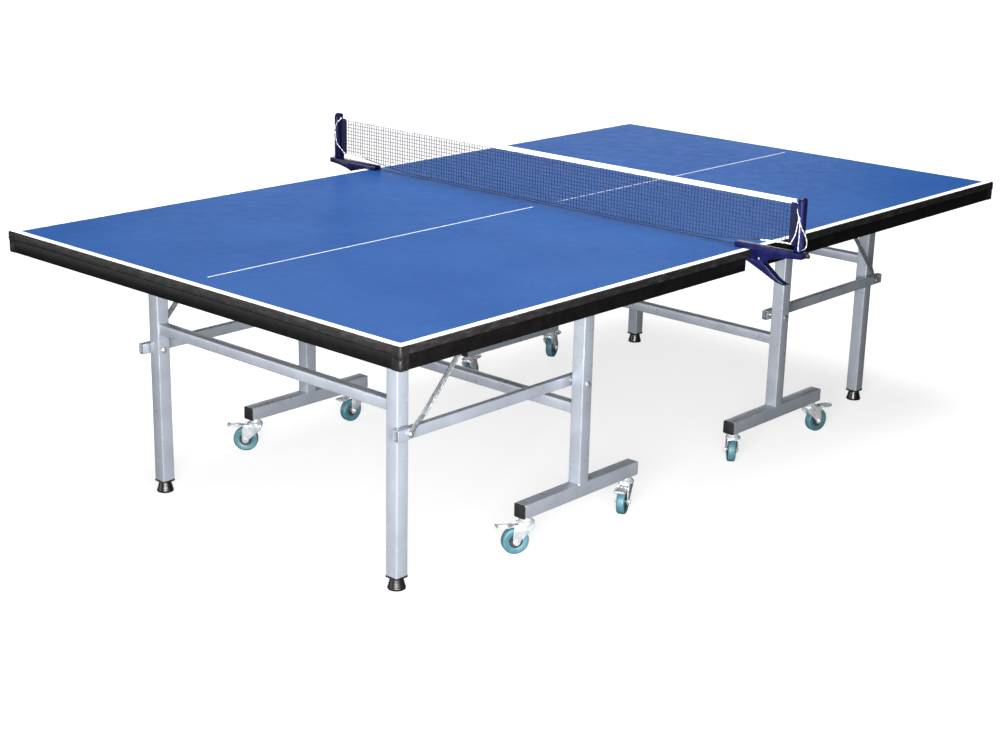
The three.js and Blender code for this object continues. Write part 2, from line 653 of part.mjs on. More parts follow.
// The cloth clears both clamps: only its middle reaches down to the surface.
function netCloth() {
  const half = HALF_WIDTH + NET_OVERHANG - POST_DEPTH / 2 - 4;
  const bottom = PLAY_HEIGHT + CLAMP_HEIGHT + NET_LIFT;
  const thick = NET_THICKNESS / 2;
  const lowest = PLAY_HEIGHT + NET_LIFT;
  const middle = HALF_WIDTH - JAW_REACH - 5;
  const cloth = box(-thick, thick, -half, half, bottom, lowest + NET_HEIGHT);
  const skirt = box(-thick, thick, -middle, middle, lowest, bottom + 1);
  return cloth.add(skirt).translate([NET_LINE, 0, 0]);
}

// ---------------------------------------------------------------- assembly

function mirrored(form, side) {
  return side > 0 ? form : form.mirror([0, 1, 0]);
}

// One caster on its swivel axis; heading is the trailing direction.
function caster(name, x, y, heading) {
  const group = new THREE.Group();
  group.position.set(x, y, 0);
  group.rotation.z = THREE.MathUtils.degToRad(heading);
  group.add(piece(`${name}_fork`, casterFork(), MATERIALS.zinc));
  group.add(piece(`${name}_wheel`, casterWheel(), MATERIALS.tyre, CASTER_TRAIL, 0, AXLE_HEIGHT));
  group.add(piece(`${name}_pedal`, brakePedal(), MATERIALS.zinc, PEDAL_PIVOT_TRAIL, 0, PEDAL_PIVOT_HEIGHT));
  return group;
}

// One half; turnedAround is true for the half whose playing end points toward -X.
function half(name, turnedAround) {
  const group = new THREE.Group();
  const heading = turnedAround ? 180 : 0;
  group.rotation.z = THREE.MathUtils.degToRad(heading);
  group.add(piece(`${name}_board`, board(), MATERIALS.surface));
  group.add(piece(`${name}_edge_frame`, edgeFrame(), MATERIALS.edge));
  group.add(piece(`${name}_leg_frame`, legFrame(), MATERIALS.steel, LEG_X, 0, PIVOT_HEIGHT));
  group.add(piece(`${name}_post_crossbar`, postCrossbar(), MATERIALS.steel,
    POST_FROM_SEAM, 0, POST_CROSSBAR_HEIGHT));
  for (const side of [-1, 1]) {
    const hand = side * (turnedAround ? -1 : 1) > 0 ? 'left' : 'right';
    const named = (part) => `${name}_${hand}_${part}`;
    group.add(piece(named('slide_rail'), mirrored(slideRail(), side), MATERIALS.steel));
    group.add(piece(named('post_frame'), postFrame(), MATERIALS.steel, POST_FROM_SEAM, side * POST_Y, 0));
    group.add(piece(named('link'), mirrored(linkBar(), side), MATERIALS.steel,
      POST_FROM_SEAM, 0, LINK_PIVOT_HEIGHT));
    group.add(piece(named('brace'), mirrored(brace(), side), MATERIALS.zinc, LEG_X, 0, LINK_PIVOT_HEIGHT));
    group.add(piece(named('foot'), foot(), MATERIALS.rubber, LEG_X, side * LEG_Y, 0));
    for (const [place, along] of [['inner', -1], ['outer', 1]]) {
      const x = POST_FROM_SEAM + along * (FLOOR_BAR_LENGTH / 2 - CASTER_INSET);
      const trail = CASTER_HEADINGS[name][`${hand}_${place}`] - heading;
      group.add(caster(named(`${place}_caster`), x, side * POST_Y, trail));
    }
  }
  return group;
}

function net() {
  const group = new THREE.Group();
  group.add(piece('net_cloth', netCloth(), MATERIALS.net));
  for (const [hand, side] of [['right', -1], ['left', 1]]) {
    const y = side * HALF_WIDTH;
    group.add(piece(`net_${hand}_bracket`, mirrored(netBracket(), side), MATERIALS.clamp, 0, y, PLAY_HEIGHT));
    group.add(piece(`net_${hand}_lever`, mirrored(netLever(), side), MATERIALS.clamp,
      0, y + side * LEVER_PIVOT_OUT, PLAY_HEIGHT - LEVER_PIVOT_DEPTH));
    group.add(piece(`net_${hand}_tension_cord`, mirrored(tensionCord(), side), MATERIALS.cord,
      0, y, PLAY_HEIGHT));
  }
  return group;
}

const table = new THREE.Group();
table.add(half('half_a', true));
table.add(half('half_b', false));
table.add(net());

export default table;
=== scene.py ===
"""Looks of the folding table-tennis table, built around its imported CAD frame.

Lengths are in millimetres until make() turns them into metres. Each half is built with
its playing end toward +X and is put in place by half_place().
"""
import math
import random

import bmesh
import bpy
from mathutils import Matrix, Vector


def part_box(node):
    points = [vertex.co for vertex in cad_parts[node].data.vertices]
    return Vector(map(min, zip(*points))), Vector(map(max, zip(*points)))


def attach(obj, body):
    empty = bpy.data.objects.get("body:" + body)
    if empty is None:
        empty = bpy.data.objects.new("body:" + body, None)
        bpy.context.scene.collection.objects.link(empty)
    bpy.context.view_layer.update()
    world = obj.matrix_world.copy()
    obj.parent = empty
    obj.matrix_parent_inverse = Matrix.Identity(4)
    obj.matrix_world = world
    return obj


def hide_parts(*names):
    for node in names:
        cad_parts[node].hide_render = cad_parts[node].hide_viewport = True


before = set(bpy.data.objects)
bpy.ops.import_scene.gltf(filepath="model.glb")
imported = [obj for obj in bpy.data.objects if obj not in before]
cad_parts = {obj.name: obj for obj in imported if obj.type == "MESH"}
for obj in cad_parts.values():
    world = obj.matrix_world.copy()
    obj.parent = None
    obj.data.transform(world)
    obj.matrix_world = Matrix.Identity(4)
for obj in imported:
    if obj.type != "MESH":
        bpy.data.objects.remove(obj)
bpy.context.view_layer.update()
MM = 0.001


def mm_box(node):
    low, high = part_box(node)
    return Vector(low) / MM, Vector(high) / MM


# ---------------------------------------------------------------- camera

YAW, PITCH, ROLL = (math.radians(angle) for angle in (41.89, 17.66, 1.31))
EYE = Vector((-3.9757, -3.3954, 1.8779))
LENS = 63.29
SENSOR = 36.0


def add_camera():
    forward = Vector((
        math.cos(YAW) * math.cos(PITCH),
        math.sin(YAW) * math.cos(PITCH),
        -math.sin(PITCH),
    ))
    level = Vector((math.sin(YAW), -math.cos(YAW), 0))
    above = level.cross(forward)
    right = math.cos(ROLL) * level + math.sin(ROLL) * above
    up = -math.sin(ROLL) * level + math.cos(ROLL) * above
    data = bpy.data.cameras.new("camera")
    data.lens = LENS
    data.sensor_width = SENSOR
    data.clip_start = 0.05
    data.clip_end = 100
    camera = bpy.data.objects.new("camera", data)
    camera.matrix_world = Matrix.LocRotScale(
        EYE, Matrix((right, up, -forward)).transposed().to_quaternion(), None)
    bpy.context.scene.collection.objects.link(camera)
    bpy.context.scene.camera = camera


add_camera()

# ---------------------------------------------------------------- sizes taken from the frame

board_low, board_high = mm_box("half_b_board")
SEAM = board_low.x
HALF_LENGTH = board_high.x
HALF_WIDTH = board_high.y
SURFACE = board_high.z
BOARD_BOTTOM = board_low.z

legs_low, legs_high = mm_box("half_b_leg_frame")
TUBE = legs_high.x - legs_low.x
LEG_X = (legs_low.x + legs_high.x) / 2
LEG_Y = legs_high.y - TUBE / 2
LEG_BOTTOM = legs_low.z
TUBE_TOP = legs_high.z

post_low, post_high = mm_box("half_b_left_post_frame")
BAR_START = post_low.x
BAR_END = post_high.x
POST_X = (BAR_START + BAR_END) / 2
POST_Y = (post_low.y + post_high.y) / 2
BAR_BOTTOM = post_low.z

cross_low, cross_high = mm_box("half_b_post_crossbar")
CROSS_TUBE = cross_high.x - cross_low.x
POST_CROSSBAR_Z = (cross_low.z + cross_high.z) / 2

link_low, link_high = mm_box("half_b_left_link")
LINK_Z = (link_low.z + link_high.z) / 2
LINK_HEIGHT = link_high.z - link_low.z

foot_low, foot_high = mm_box("half_b_left_foot")
FOOT_RADIUS = (foot_high.x - foot_low.x) / 2

TUBE_WALL = 2.0
TUBE_CORNER = 3.5
PLUG_WIDTH = TUBE - 2 * TUBE_WALL - 0.4
PIVOT_Z = TUBE_TOP - 14
LEG_CROSSBAR_Z = 490
LINK_WIDTH = 20
SIDE_GAP = 1
LINK_Y = LEG_Y + FOOT_RADIUS + SIDE_GAP + LINK_WIDTH / 2
BRACE_INNER = LINK_Y + LINK_WIDTH / 2 + SIDE_GAP
BRACE_OUTER = BRACE_INNER + 3.5
BRACE_STRAP = BRACE_INNER + 3.8
BRACE_REACH = 269.5
STRAP_THICK = 2.2
CASTER_INSET = 25
CASTER_HEADINGS = {
    "half_a": {"left_outer": 132, "left_inner": 180, "right_outer": 150, "right_inner": 205},
    "half_b": {"left_outer": 20, "left_inner": 20, "right_outer": -15, "right_inner": 40},
}

# ---------------------------------------------------------------- shells


def at(axis, u, v, t):
    return {"x": (t, u, v), "y": (u, t, v), "z": (u, v, t)}[axis]


def loft(rings, close=False):
    """A skin through rings of equal length, with flat ends unless it closes on itself."""
    n = len(rings[0])
    count = len(rings)
    faces = []
    for i in range(count if close else count - 1):
        a = i * n
        b = ((i + 1) % count) * n
        faces += [(a + j, a + (j + 1) % n, b + (j + 1) % n, b + j) for j in range(n)]
    if not close:
        faces += [tuple(range(n)), tuple(range((count - 1) * n, count * n))]
    return [point for ring in rings for point in ring], faces


def rounded(width, height, radius, steps=4):
    points = []
    for quarter, (sx, sy) in enumerate(((1, 1), (-1, 1), (-1, -1), (1, -1))):
        for i in range(steps + 1):
            angle = math.pi / 2 * (quarter + i / steps)
            points.append((
                sx * (width / 2 - radius) + radius * math.cos(angle),
                sy * (height / 2 - radius) + radius * math.sin(angle),
            ))
    return points


def prism(axis, outline, start, end):
    return loft([[at(axis, u, v, t) for u, v in outline] for t in (start, end)])


def box(x0, x1, y0, y1, z0, z1):
    return prism("z", [(x0, y0), (x1, y0), (x1, y1), (x0, y1)], z0, z1)


def tube(axis, centre, start, end, width, height, wall=TUBE_WALL, corner=TUBE_CORNER):
    """A rectangular tube with rounded corners, open at both ends."""
    u, v = centre
    lip = 0.4
    outer = rounded(width, height, corner)
    eased = rounded(width - 2 * lip, height - 2 * lip, corner - lip)
    inner = rounded(width - 2 * wall, height - 2 * wall, max(corner - wall, 0.6))
    rings = [
        (eased, start), (outer, start + lip), (outer, end - lip), (eased, end),
        (inner, end), (inner, start),
    ]
    return loft([[at(axis, u + a, v + b, t) for a, b in ring] for ring, t in rings], close=True)


def lathe(axis, centre, profile, steps=24, close=False):
    """A form of (radius, place along the axis) points; a radius of 0 is a pole."""
    u, v = centre
    verts = []
    rows = []
    for radius, t in profile:
        count = 1 if radius == 0 else steps
        rows.append(range(len(verts), len(verts) + count))
        for i in range(count):
            angle = 2 * math.pi * i / steps
            verts.append(at(axis, u + radius * math.cos(angle), v + radius * math.sin(angle), t))
    faces = []
    pairs = list(zip(rows, rows[1:]))
    if close:
        pairs.append((rows[-1], rows[0]))
    for low, high in pairs:
        for i in range(steps):
            j = (i + 1) % steps
            quad = [low[i % len(low)], low[j % len(low)], high[j % len(high)], high[i % len(high)]]
            faces.append(tuple(dict.fromkeys(quad)))
    if not close:
        faces += [tuple(row) for row in (rows[0], rows[-1]) if len(row) > 1]
    return verts, faces


def rod(axis, centre, start, end, radius, steps=20, ease=0.4):
    step = math.copysign(ease, end - start)
    profile = [(radius - ease, start), (radius, start + step), (radius, end - step), (radius - ease, end)]
    return lathe(axis, centre, profile, steps)


def hexagon(axis, centre, start, end, flats):
    """A bolt head or nut with its chamfered face at end."""
    u, v = centre
    radius = flats / math.sqrt(3)
    rings = []
    for size, t in ((1.0, start), (1.0, start + 0.7 * (end - start)), (0.86, end)):
        rings.append([
            at(axis, u + size * radius * math.cos(a), v + size * radius * math.sin(a), t)
            for a in (k * math.pi / 3 for k in range(6))])
    return loft(rings)


def bolt(axis, centre, face, out, flats=15, washer=9.5, height=3.6):
    """A washer and hexagon head standing on a face, toward out = 1 or -1."""
    thick = 1.0 * out
    return [
        rod(axis, centre, face, face + thick, washer, ease=0.25),
        hexagon(axis, centre, face + thick, face + thick + out * (height - 0.6), flats),
        rod(axis, centre, face, face + out * (height + 0.9), 4, ease=0.4),
    ]


def sweep(points, radius, sides=8, close=False):
    """A round cord along points. radius is a number, or one for each point."""
    points = [Vector(p) for p in points]
    count = len(points)
    radii = radius if hasattr(radius, "__len__") else [radius] * count
    rings = []
    side = None
    for i, point in enumerate(points):
        before = points[i - 1] if i or close else point
        after = points[(i + 1) % count] if i < count - 1 or close else point
        ahead = (after - before).normalized()
        if side is None:
            side = ahead.orthogonal().normalized()
        side = (side - ahead * side.dot(ahead)).normalized()
        across = ahead.cross(side)
        rings.append([
            point + radii[i] * (math.cos(a) * side + math.sin(a) * across)
            for a in (2 * math.pi * k / sides for k in range(sides))])
    return loft(rings, close)


def catmull(points, steps):
    """A centripetal Catmull-Rom curve through points."""
    points = [Vector(p) for p in points]
    first = 2 * points[0] - points[1]
    last = 2 * points[-1] - points[-2]
    line = [first, *points, last]
    out = []
    for i in range(1, len(line) - 2):
        p = line[i - 1:i + 3]
        t = [0.0]
        for a, b in zip(p, p[1:]):
            t.append(t[-1] + max((b - a).length, 1e-6) ** 0.5)
        for k in range(steps):
            x = t[1] + (t[2] - t[1]) * k / steps
            a = [p[j] + (p[j + 1] - p[j]) * ((x - t[j]) / (t[j + 1] - t[j])) for j in range(3)]
            b = [a[j] + (a[j + 1] - a[j]) * ((x - t[j]) / (t[j + 2] - t[j])) for j in range(2)]
            out.append(b[0] + (b[1] - b[0]) * ((x - t[1]) / (t[2] - t[1])))
    return [*out, points[-1]]


def weld(axis, centre, t, width, height, seed):
    """A weld bead round a rectangular tube where it meets a face."""
    draw = random.Random(seed)
    path = rounded(width + 1.2, height + 1.2, TUBE_CORNER + 0.6, 3)
    dense = []
    for (a, b), (c, d) in zip(path, path[1:] + path[:1]):
        steps = max(1, round(math.hypot(c - a, d - b) / 2.2))
        dense += [(a + (c - a) * k / steps, b + (d - b) * k / steps) for k in range(steps)]
    radii = [1.5 + 0.35 * (i % 2) + draw.uniform(-0.2, 0.2) for i in range(len(dense))]
    return sweep([at(axis, centre[0] + u, centre[1] + v, t) for u, v in dense], radii, 6, close=True)


def same(point):
    return Vector(point)


def make(name, shells, body, finish, replaced=(), place=same, bevel=0.0, smooth=38.0):
    """One piece from closed shells: it rides on body and stands for the replaced CAD nodes."""
    bm = bmesh.new()
    for verts, faces in shells:
        new = [bm.verts.new(place(v) * MM) for v in verts]
        for face in faces:
            bm.faces.new([new[i] for i in face])
    bmesh.ops.recalc_face_normals(bm, faces=bm.faces[:])
    if bevel:
        sharp = [e for e in bm.edges if len(e.link_faces) == 2 and e.calc_face_angle(0) > math.radians(30)]
        bmesh.ops.bevel(bm, geom=sharp, offset=bevel * MM, offset_type="OFFSET", segments=2,
                        profile=0.5, affect="EDGES", clamp_overlap=True)
        bmesh.ops.recalc_face_normals(bm, faces=bm.faces[:])
    mesh = bpy.data.meshes.new(name)
    bm.to_mesh(mesh)
    bm.free()
    mesh.polygons.foreach_set("use_smooth", [True] * len(mesh.polygons))
    mesh.set_sharp_from_angle(angle=math.radians(smooth))
    mesh.materials.append(finish)
    piece = bpy.data.objects.new(name, mesh)
    bpy.context.scene.collection.objects.link(piece)
    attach(piece, body)
    if replaced:
        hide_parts(*replaced)
    return piece


# ---------------------------------------------------------------- finishes


def colour(red, green, blue):
    """An sRGB colour of 0 to 255 as the shader's linear one."""
    def linear(value):
        value /= 255
        return value / 12.92 if value <= 0.04045 else ((value + 0.055) / 1.055) ** 2.4
    return linear(red), linear(green), linear(blue), 1.0


# colour sockets of the mix node, which share their names with its other sockets
MIX_FIRST, MIX_SECOND = 6, 7
MIX_RESULT = 2


class Finish:
    """A Principled material whose textures lie in the piece's own space, in metres."""

    def __init__(self, name, **sockets):
        self.material = bpy.data.materials.new(name)
        self.material.use_nodes = True
        self.tree = self.material.node_tree
        self.shader = self.tree.nodes["Principled BSDF"]
        for socket, value in sockets.items():
            self.shader.inputs[socket.replace("_", " ")].default_value = value
        self.coordinates = self.node("ShaderNodeTexCoord").outputs

    def node(self, kind, settings=(), **inputs):
        node = self.tree.nodes.new(kind)
        for key, value in dict(settings).items():
            setattr(node, key, value)
        for key, value in inputs.items():
            self.put(value, node.inputs[key.replace("_", " ")])
        return node

    def put(self, value, socket):
        if isinstance(value, bpy.types.NodeSocket):
            self.tree.links.new(value, socket)
        else:
            socket.default_value = value

    def stretched(self, scale, turn=(0, 0, 0)):
        return self.node("ShaderNodeMapping", Vector=self.coordinates["Object"], Scale=scale,
                         Rotation=turn).outputs["Vector"]

    def noise(self, scale, detail=3.0, where=None):
        where = where or self.coordinates["Object"]
        return self.node("ShaderNodeTexNoise", Vector=where, Scale=scale, Detail=detail).outputs["Fac"]

    def cells(self, scale):
        where = self.coordinates["Object"]
        return self.node("ShaderNodeTexVoronoi", Vector=where, Scale=scale).outputs["Color"]

    def waves(self, scale, where, distortion, direction):
        settings = {"bands_direction": direction, "wave_profile": "SIN"}
        return self.node("ShaderNodeTexWave", settings, Vector=where, Scale=scale,
                         Distortion=distortion).outputs["Fac"]

    def ramp(self, source, *stops):
        node = self.node("ShaderNodeValToRGB", Fac=source)
        elements = node.color_ramp.elements
        while len(elements) < len(stops):
            elements.new(0.5)
        for element, (place, value) in zip(elements, stops):
            element.position = place
            element.color = value
        return node.outputs["Color"]

    def spread(self, source, low, high, start=0.3, end=0.7):
        node = self.node("ShaderNodeMapRange", Value=source, From_Min=start, From_Max=end,
                         To_Min=low, To_Max=high)
        return node.outputs["Result"]

    def mix(self, factor, first, second):
        node = self.node("ShaderNodeMix", {"data_type": "RGBA", "blend_type": "MIX"})
        self.put(factor, node.inputs["Factor"])
        self.put(first, node.inputs[MIX_FIRST])
        self.put(second, node.inputs[MIX_SECOND])
        return node.outputs[MIX_RESULT]

    def product(self, first, second):
        node = self.node("ShaderNodeMath", {"operation": "MULTIPLY"})
        self.put(first, node.inputs[0])
        self.put(second, node.inputs[1])
        return node.outputs["Value"]

    def edges(self, base, painted_highlight, start, end):
        """base with a lighter colour painted along convex edges as a painted highlight."""
        point = self.node("ShaderNodeNewGeometry").outputs["Pointiness"]
        return self.mix(self.spread(point, 0.0, 1.0, start, end), base, painted_highlight)

    def bump(self, height, distance, strength=1.0, under=None):
        node = self.node("ShaderNodeBump", Height=height, Distance=distance, Strength=strength)
        if under:
            self.put(under, node.inputs["Normal"])
        return node.outputs["Normal"]

    def done(self, base=None, roughness=None, normal=None):
        for value, socket in ((base, "Base Color"), (roughness, "Roughness"), (normal, "Normal")):
            if value is not None:
                self.put(value, self.shader.inputs[socket])
        return self.material


def surface_finish():
    f = Finish("table_surface", Specular_IOR_Level=0.18)
    cloud = f.noise(2.6, 5.0)
    grain = f.noise(900.0, 2.0)
    streak = f.noise(40.0, 4.0, f.stretched((1.0, 22.0, 1.0)))
    blue = f.ramp(cloud, (0.3, colour(18, 62, 120)), (0.7, colour(26, 71, 129)))
    blue = f.mix(f.spread(streak, 0.0, 0.2), blue, colour(38, 80, 137))
    brown = f.ramp(f.noise(260.0, 6.0), (0.35, colour(58, 46, 36)), (0.65, colour(84, 68, 54)))
    up = f.node("ShaderNodeSeparateXYZ", Vector=f.coordinates["Normal"]).outputs["Z"]
    base = f.mix(f.spread(up, 0.0, 1.0, 0.45, 0.55), brown, blue)
    rough = f.spread(f.noise(22.0, 5.0), 0.40, 0.50)
    return f.done(base, rough, f.bump(grain, 0.00012, 0.35, f.bump(streak, 0.0001, 0.15)))


def paint_finish(name, dark, light, rough, depth=0.00015, blotch=14.0, **sockets):
    """Sprayed paint: soft blotches of colour over a fine grain."""
    f = Finish(name, **sockets)
    base = f.ramp(f.noise(blotch, 6.0), (0.34, colour(*dark)), (0.66, colour(*light)))
    fine = f.noise(1200.0, 2.0)
    return f.done(base, f.spread(f.noise(blotch * 4, 4.0), *rough), f.bump(fine, depth, 0.5))


def band_finish():
    """Mottled powder coat of the edge band."""
    f = Finish("edge_band_paint", Specular_IOR_Level=0.25)
    mottle = f.noise(85.0, 8.0, f.stretched((0.5, 0.5, 1.6)))
    base = f.ramp(mottle, (0.32, colour(16, 15, 15)), (0.55, colour(26, 25, 25)), (0.72, colour(44, 43, 43)))
    return f.done(base, f.spread(mottle, 0.5, 0.34), f.bump(f.noise(700.0, 3.0), 0.0002, 0.6))


def tube_finish():
    """Silver paint on steel tube, with a little dust."""
    f = Finish("tube_silver_paint", Metallic=0.45, Coat_Weight=0.1, Coat_Roughness=0.25)
    dust = f.noise(9.0, 6.0)
    base = f.ramp(dust, (0.35, colour(146, 152, 162)), (0.65, colour(158, 164, 173)))
    return f.done(base, f.spread(f.noise(30.0, 5.0), 0.26, 0.38), f.bump(f.noise(1500.0, 2.0), 0.00002, 0.3))


def zinc_finish(name, dark, light, rough, spangle=180.0, metallic=0.85):
    """Plated steel with a fine crystal pattern."""
    f = Finish(name, Metallic=metallic)
    cell = f.cells(spangle)
    base = f.ramp(cell, (0.2, colour(*dark)), (0.8, colour(*light)))
    return f.done(base, f.spread(f.noise(60.0, 5.0), *rough), f.bump(f.noise(500.0, 3.0), 0.00006, 0.4))


def rubber_finish(name, dark, light, rough):
    f = Finish(name)
    base = f.ramp(f.noise(45.0, 6.0), (0.35, colour(*dark)), (0.65, colour(*light)))
    return f.done(base, f.spread(f.noise(300.0, 3.0), *rough), f.bump(f.noise(1600.0, 2.0), 0.0001, 0.5))


WEAVE_SCALE = 1000.0 / 22.0


def weave_finish(name, dark, light):
    """Plain weave, with painted shade in the hollows between its threads. A wave texture at this scale
    repeats every 6.9 mm.
    """
    f = Finish(name, Sheen_Weight=0.06, Sheen_Roughness=0.5, Specular_IOR_Level=0.2)
    warp = f.waves(WEAVE_SCALE, f.coordinates["Object"], 0.4, "Y")
    weft = f.waves(WEAVE_SCALE, f.coordinates["Object"], 0.4, "Z")
    cross = f.product(warp, weft)
    soil = f.noise(30.0, 5.0)
    base = f.mix(f.spread(soil, 0.0, 0.7), colour(*light), colour(*dark))
    # painted shade: where the threads cross low, the colour is darkened toward dark
    base = f.mix(f.spread(cross, 0.35, 0.0, 0.0, 0.6), base, colour(*dark))
    fuzz = f.bump(f.noise(2500.0), 0.0001, 0.4)
    return f.done(base, f.spread(soil, 0.75, 0.9), f.bump(cross, 0.0003, 0.8, fuzz))


def braid_finish(name, dark, light):
    """Braided cord: slanted plaits that run round it, with painted shade in the grooves between them."""
    f = Finish(name, Sheen_Weight=0.2)
    left = f.waves(28.0, f.stretched((1, 1, 1), (0.8, 0, 0)), 0.3, "Y")
    right = f.waves(28.0, f.stretched((1, 1, 1), (-0.8, 0, 0)), 0.3, "Y")
    plait = f.product(left, right)
    # painted shade: the grooves, where the plait is low, take the dark colour
    base = f.ramp(plait, (0.0, colour(*dark)), (0.35, colour(*light)))
    return f.done(base, f.spread(f.noise(200.0), 0.7, 0.85), f.bump(plait, 0.0004, 0.8))


def enamel_finish():
    """Indigo enamel over pressed steel, with a painted highlight of lighter blue along its edges."""
    f = Finish("clamp_enamel", Coat_Weight=0.15, Coat_Roughness=0.15, Specular_IOR_Level=0.15)
    base = f.ramp(f.noise(35.0, 5.0), (0.35, colour(10, 12, 46)), (0.65, colour(17, 20, 64)))
    # painted highlight: a lighter blue laid along the convex edges
    base = f.edges(base, colour(60, 66, 130), 0.58, 0.68)
    return f.done(base, f.spread(f.noise(90.0, 4.0), 0.24, 0.36), f.bump(f.noise(420.0, 3.0), 0.00012, 0.5))


SURFACE_PAINT = surface_finish()
LINE_PAINT = paint_finish("line_white_paint", (226, 228, 230), (240, 241, 242), rough=(0.45, 0.6))
BAND_PAINT = band_finish()
LOWER_PAINT = paint_finish("edge_black_paint", (7, 6, 6), (12, 11, 11), rough=(0.3, 0.45), blotch=40.0,
                           depth=0.0002, Specular_IOR_Level=0.1)
CAP_PLASTIC = paint_finish("corner_cap_plastic", (13, 12, 12), (28, 27, 26), rough=(0.35, 0.5), blotch=60.0,
                           Specular_IOR_Level=0.18)
TUBE_PAINT = tube_finish()
ZINC = zinc_finish("zinc_plate", (150, 154, 158), (196, 200, 204), rough=(0.3, 0.48))
CHROME = zinc_finish("bright_plate", (190, 194, 198), (226, 229, 232), rough=(0.16, 0.3), spangle=60.0,
                     metallic=0.6)
RUBBER = rubber_finish("foot_black_rubber", (10, 10, 10), (20, 19, 19), rough=(0.25, 0.38))
TYRE = rubber_finish("tyre_teal_rubber", (46, 84, 94), (64, 104, 113), rough=(0.4, 0.55))
HUB = paint_finish("hub_nylon", (34, 34, 38), (58, 57, 60), rough=(0.35, 0.5), blotch=80.0)
PLUG = rubber_finish("black_plastic", (9, 9, 10), (17, 17, 19), rough=(0.4, 0.55))
ENAMEL = enamel_finish()
TWINE = rubber_finish("net_twine", (12, 14, 30), (26, 30, 58), rough=(0.7, 0.85))
TAPE = weave_finish("net_tape_canvas", (196, 198, 202), (238, 239, 240))
SLEEVE = weave_finish("net_sleeve_canvas", (7, 8, 30), (15, 18, 54))
BRAID = braid_finish("cord_white_braid", (150, 152, 156), (240, 240, 238))

# ---------------------------------------------------------------- top of one half


def half_place(name, side=1):
    """From a half's own space, on its +Y side, to the table's; side -1 is its -Y side."""
    turn = -1 if name == "half_a" else 1
    return lambda p: Vector((turn * p[0], turn * side * p[1], p[2]))


def band_sweep(section, start):
    """A section of (out, down) points round the three outer sides, from x = start, with mitred corners."""
    rings = []
    for sx, sy in ((0, -1), (1, -1), (1, 1), (0, 1)):
        rings.append([
            ((HALF_LENGTH + out) if sx else start, sy * (HALF_WIDTH + out), SURFACE - down)
            for out, down in section])
    return loft(rings)


UPPER_BAND = [
    (0.3, 0.3), (1.2, 0.6), (2.2, 1.5), (2.9, 2.9), (3.1, 4.8), (3.1, 16.4), (4.1, 17.4), (4.3, 18.2),
    (4.2, 19.4), (3.2, 20.4), (1.3, 20.9), (0.5, 21.0), (0.3, 21.0),
]
LOWER_BAND = [
    (0.3, 21.4), (1.3, 21.5), (2.0, 21.9), (2.4, 22.7), (2.4, 56.0), (2.1, 57.0), (1.4, 57.5),
    (-23.4, 57.5), (-24.0, 57.0), (-24.0, 55.2), (-0.2, 55.2), (-0.2, 20.8), (-24.0, 20.8),
    (-24.0, 18.5), (0.3, 18.5),
]
NOTCH_TRIM = [(0.3, 18.5), (0.3, 21.4), (-0.6, 21.4), (-24.0, 20.8), (-24.0, 18.5)]
CAP_PROFILE = [
    (0.3, 3.4), (0.9, 4.3), (2.2, 5.0), (4.5, 5.3), (21.5, 5.3), (25.0, 4.9), (28.0, 4.1), (29.6, 3.5),
    (30.6, 3.5), (31.6, 4.3), (33.0, 4.6), (55.8, 4.6), (57.0, 4.3), (57.6, 3.6),
]
CAP_REACH = 22.5
CAP_CORNER = 7.0
CLAMP_NOTCH = 47


def corner_cap(side):
    """Moulded cap over one outer corner of the edge frame."""
    rings = []
    for down, out in CAP_PROFILE:
        x = HALF_LENGTH + out
        y = HALF_WIDTH + out
        ease = 0.8 if down in (CAP_PROFILE[0][0], CAP_PROFILE[-1][0]) else 0.0
        reach = CAP_REACH - ease
        ring = [(HALF_LENGTH - reach, y)]
        for i in range(9):
            angle = math.pi / 2 * (1 - i / 8)
            ring.append((x - CAP_CORNER + CAP_CORNER * math.cos(angle),
                         y - CAP_CORNER + CAP_CORNER * math.sin(angle)))
        ring += [(x, HALF_WIDTH - reach), (HALF_LENGTH + 0.4, HALF_WIDTH - reach),
                 (HALF_LENGTH + 0.4, HALF_WIDTH + 0.4), (HALF_LENGTH - reach, HALF_WIDTH + 0.4)]
        rings.append([(a, side * b, SURFACE - down) for a, b in ring])
    return loft(rings)


SCREW_INSET = 20
LINE_WIDTH = 20
LINE_RISE = 0.15
CENTRE_LINE = 3.2
CENTRE_LINE_GAP = 55


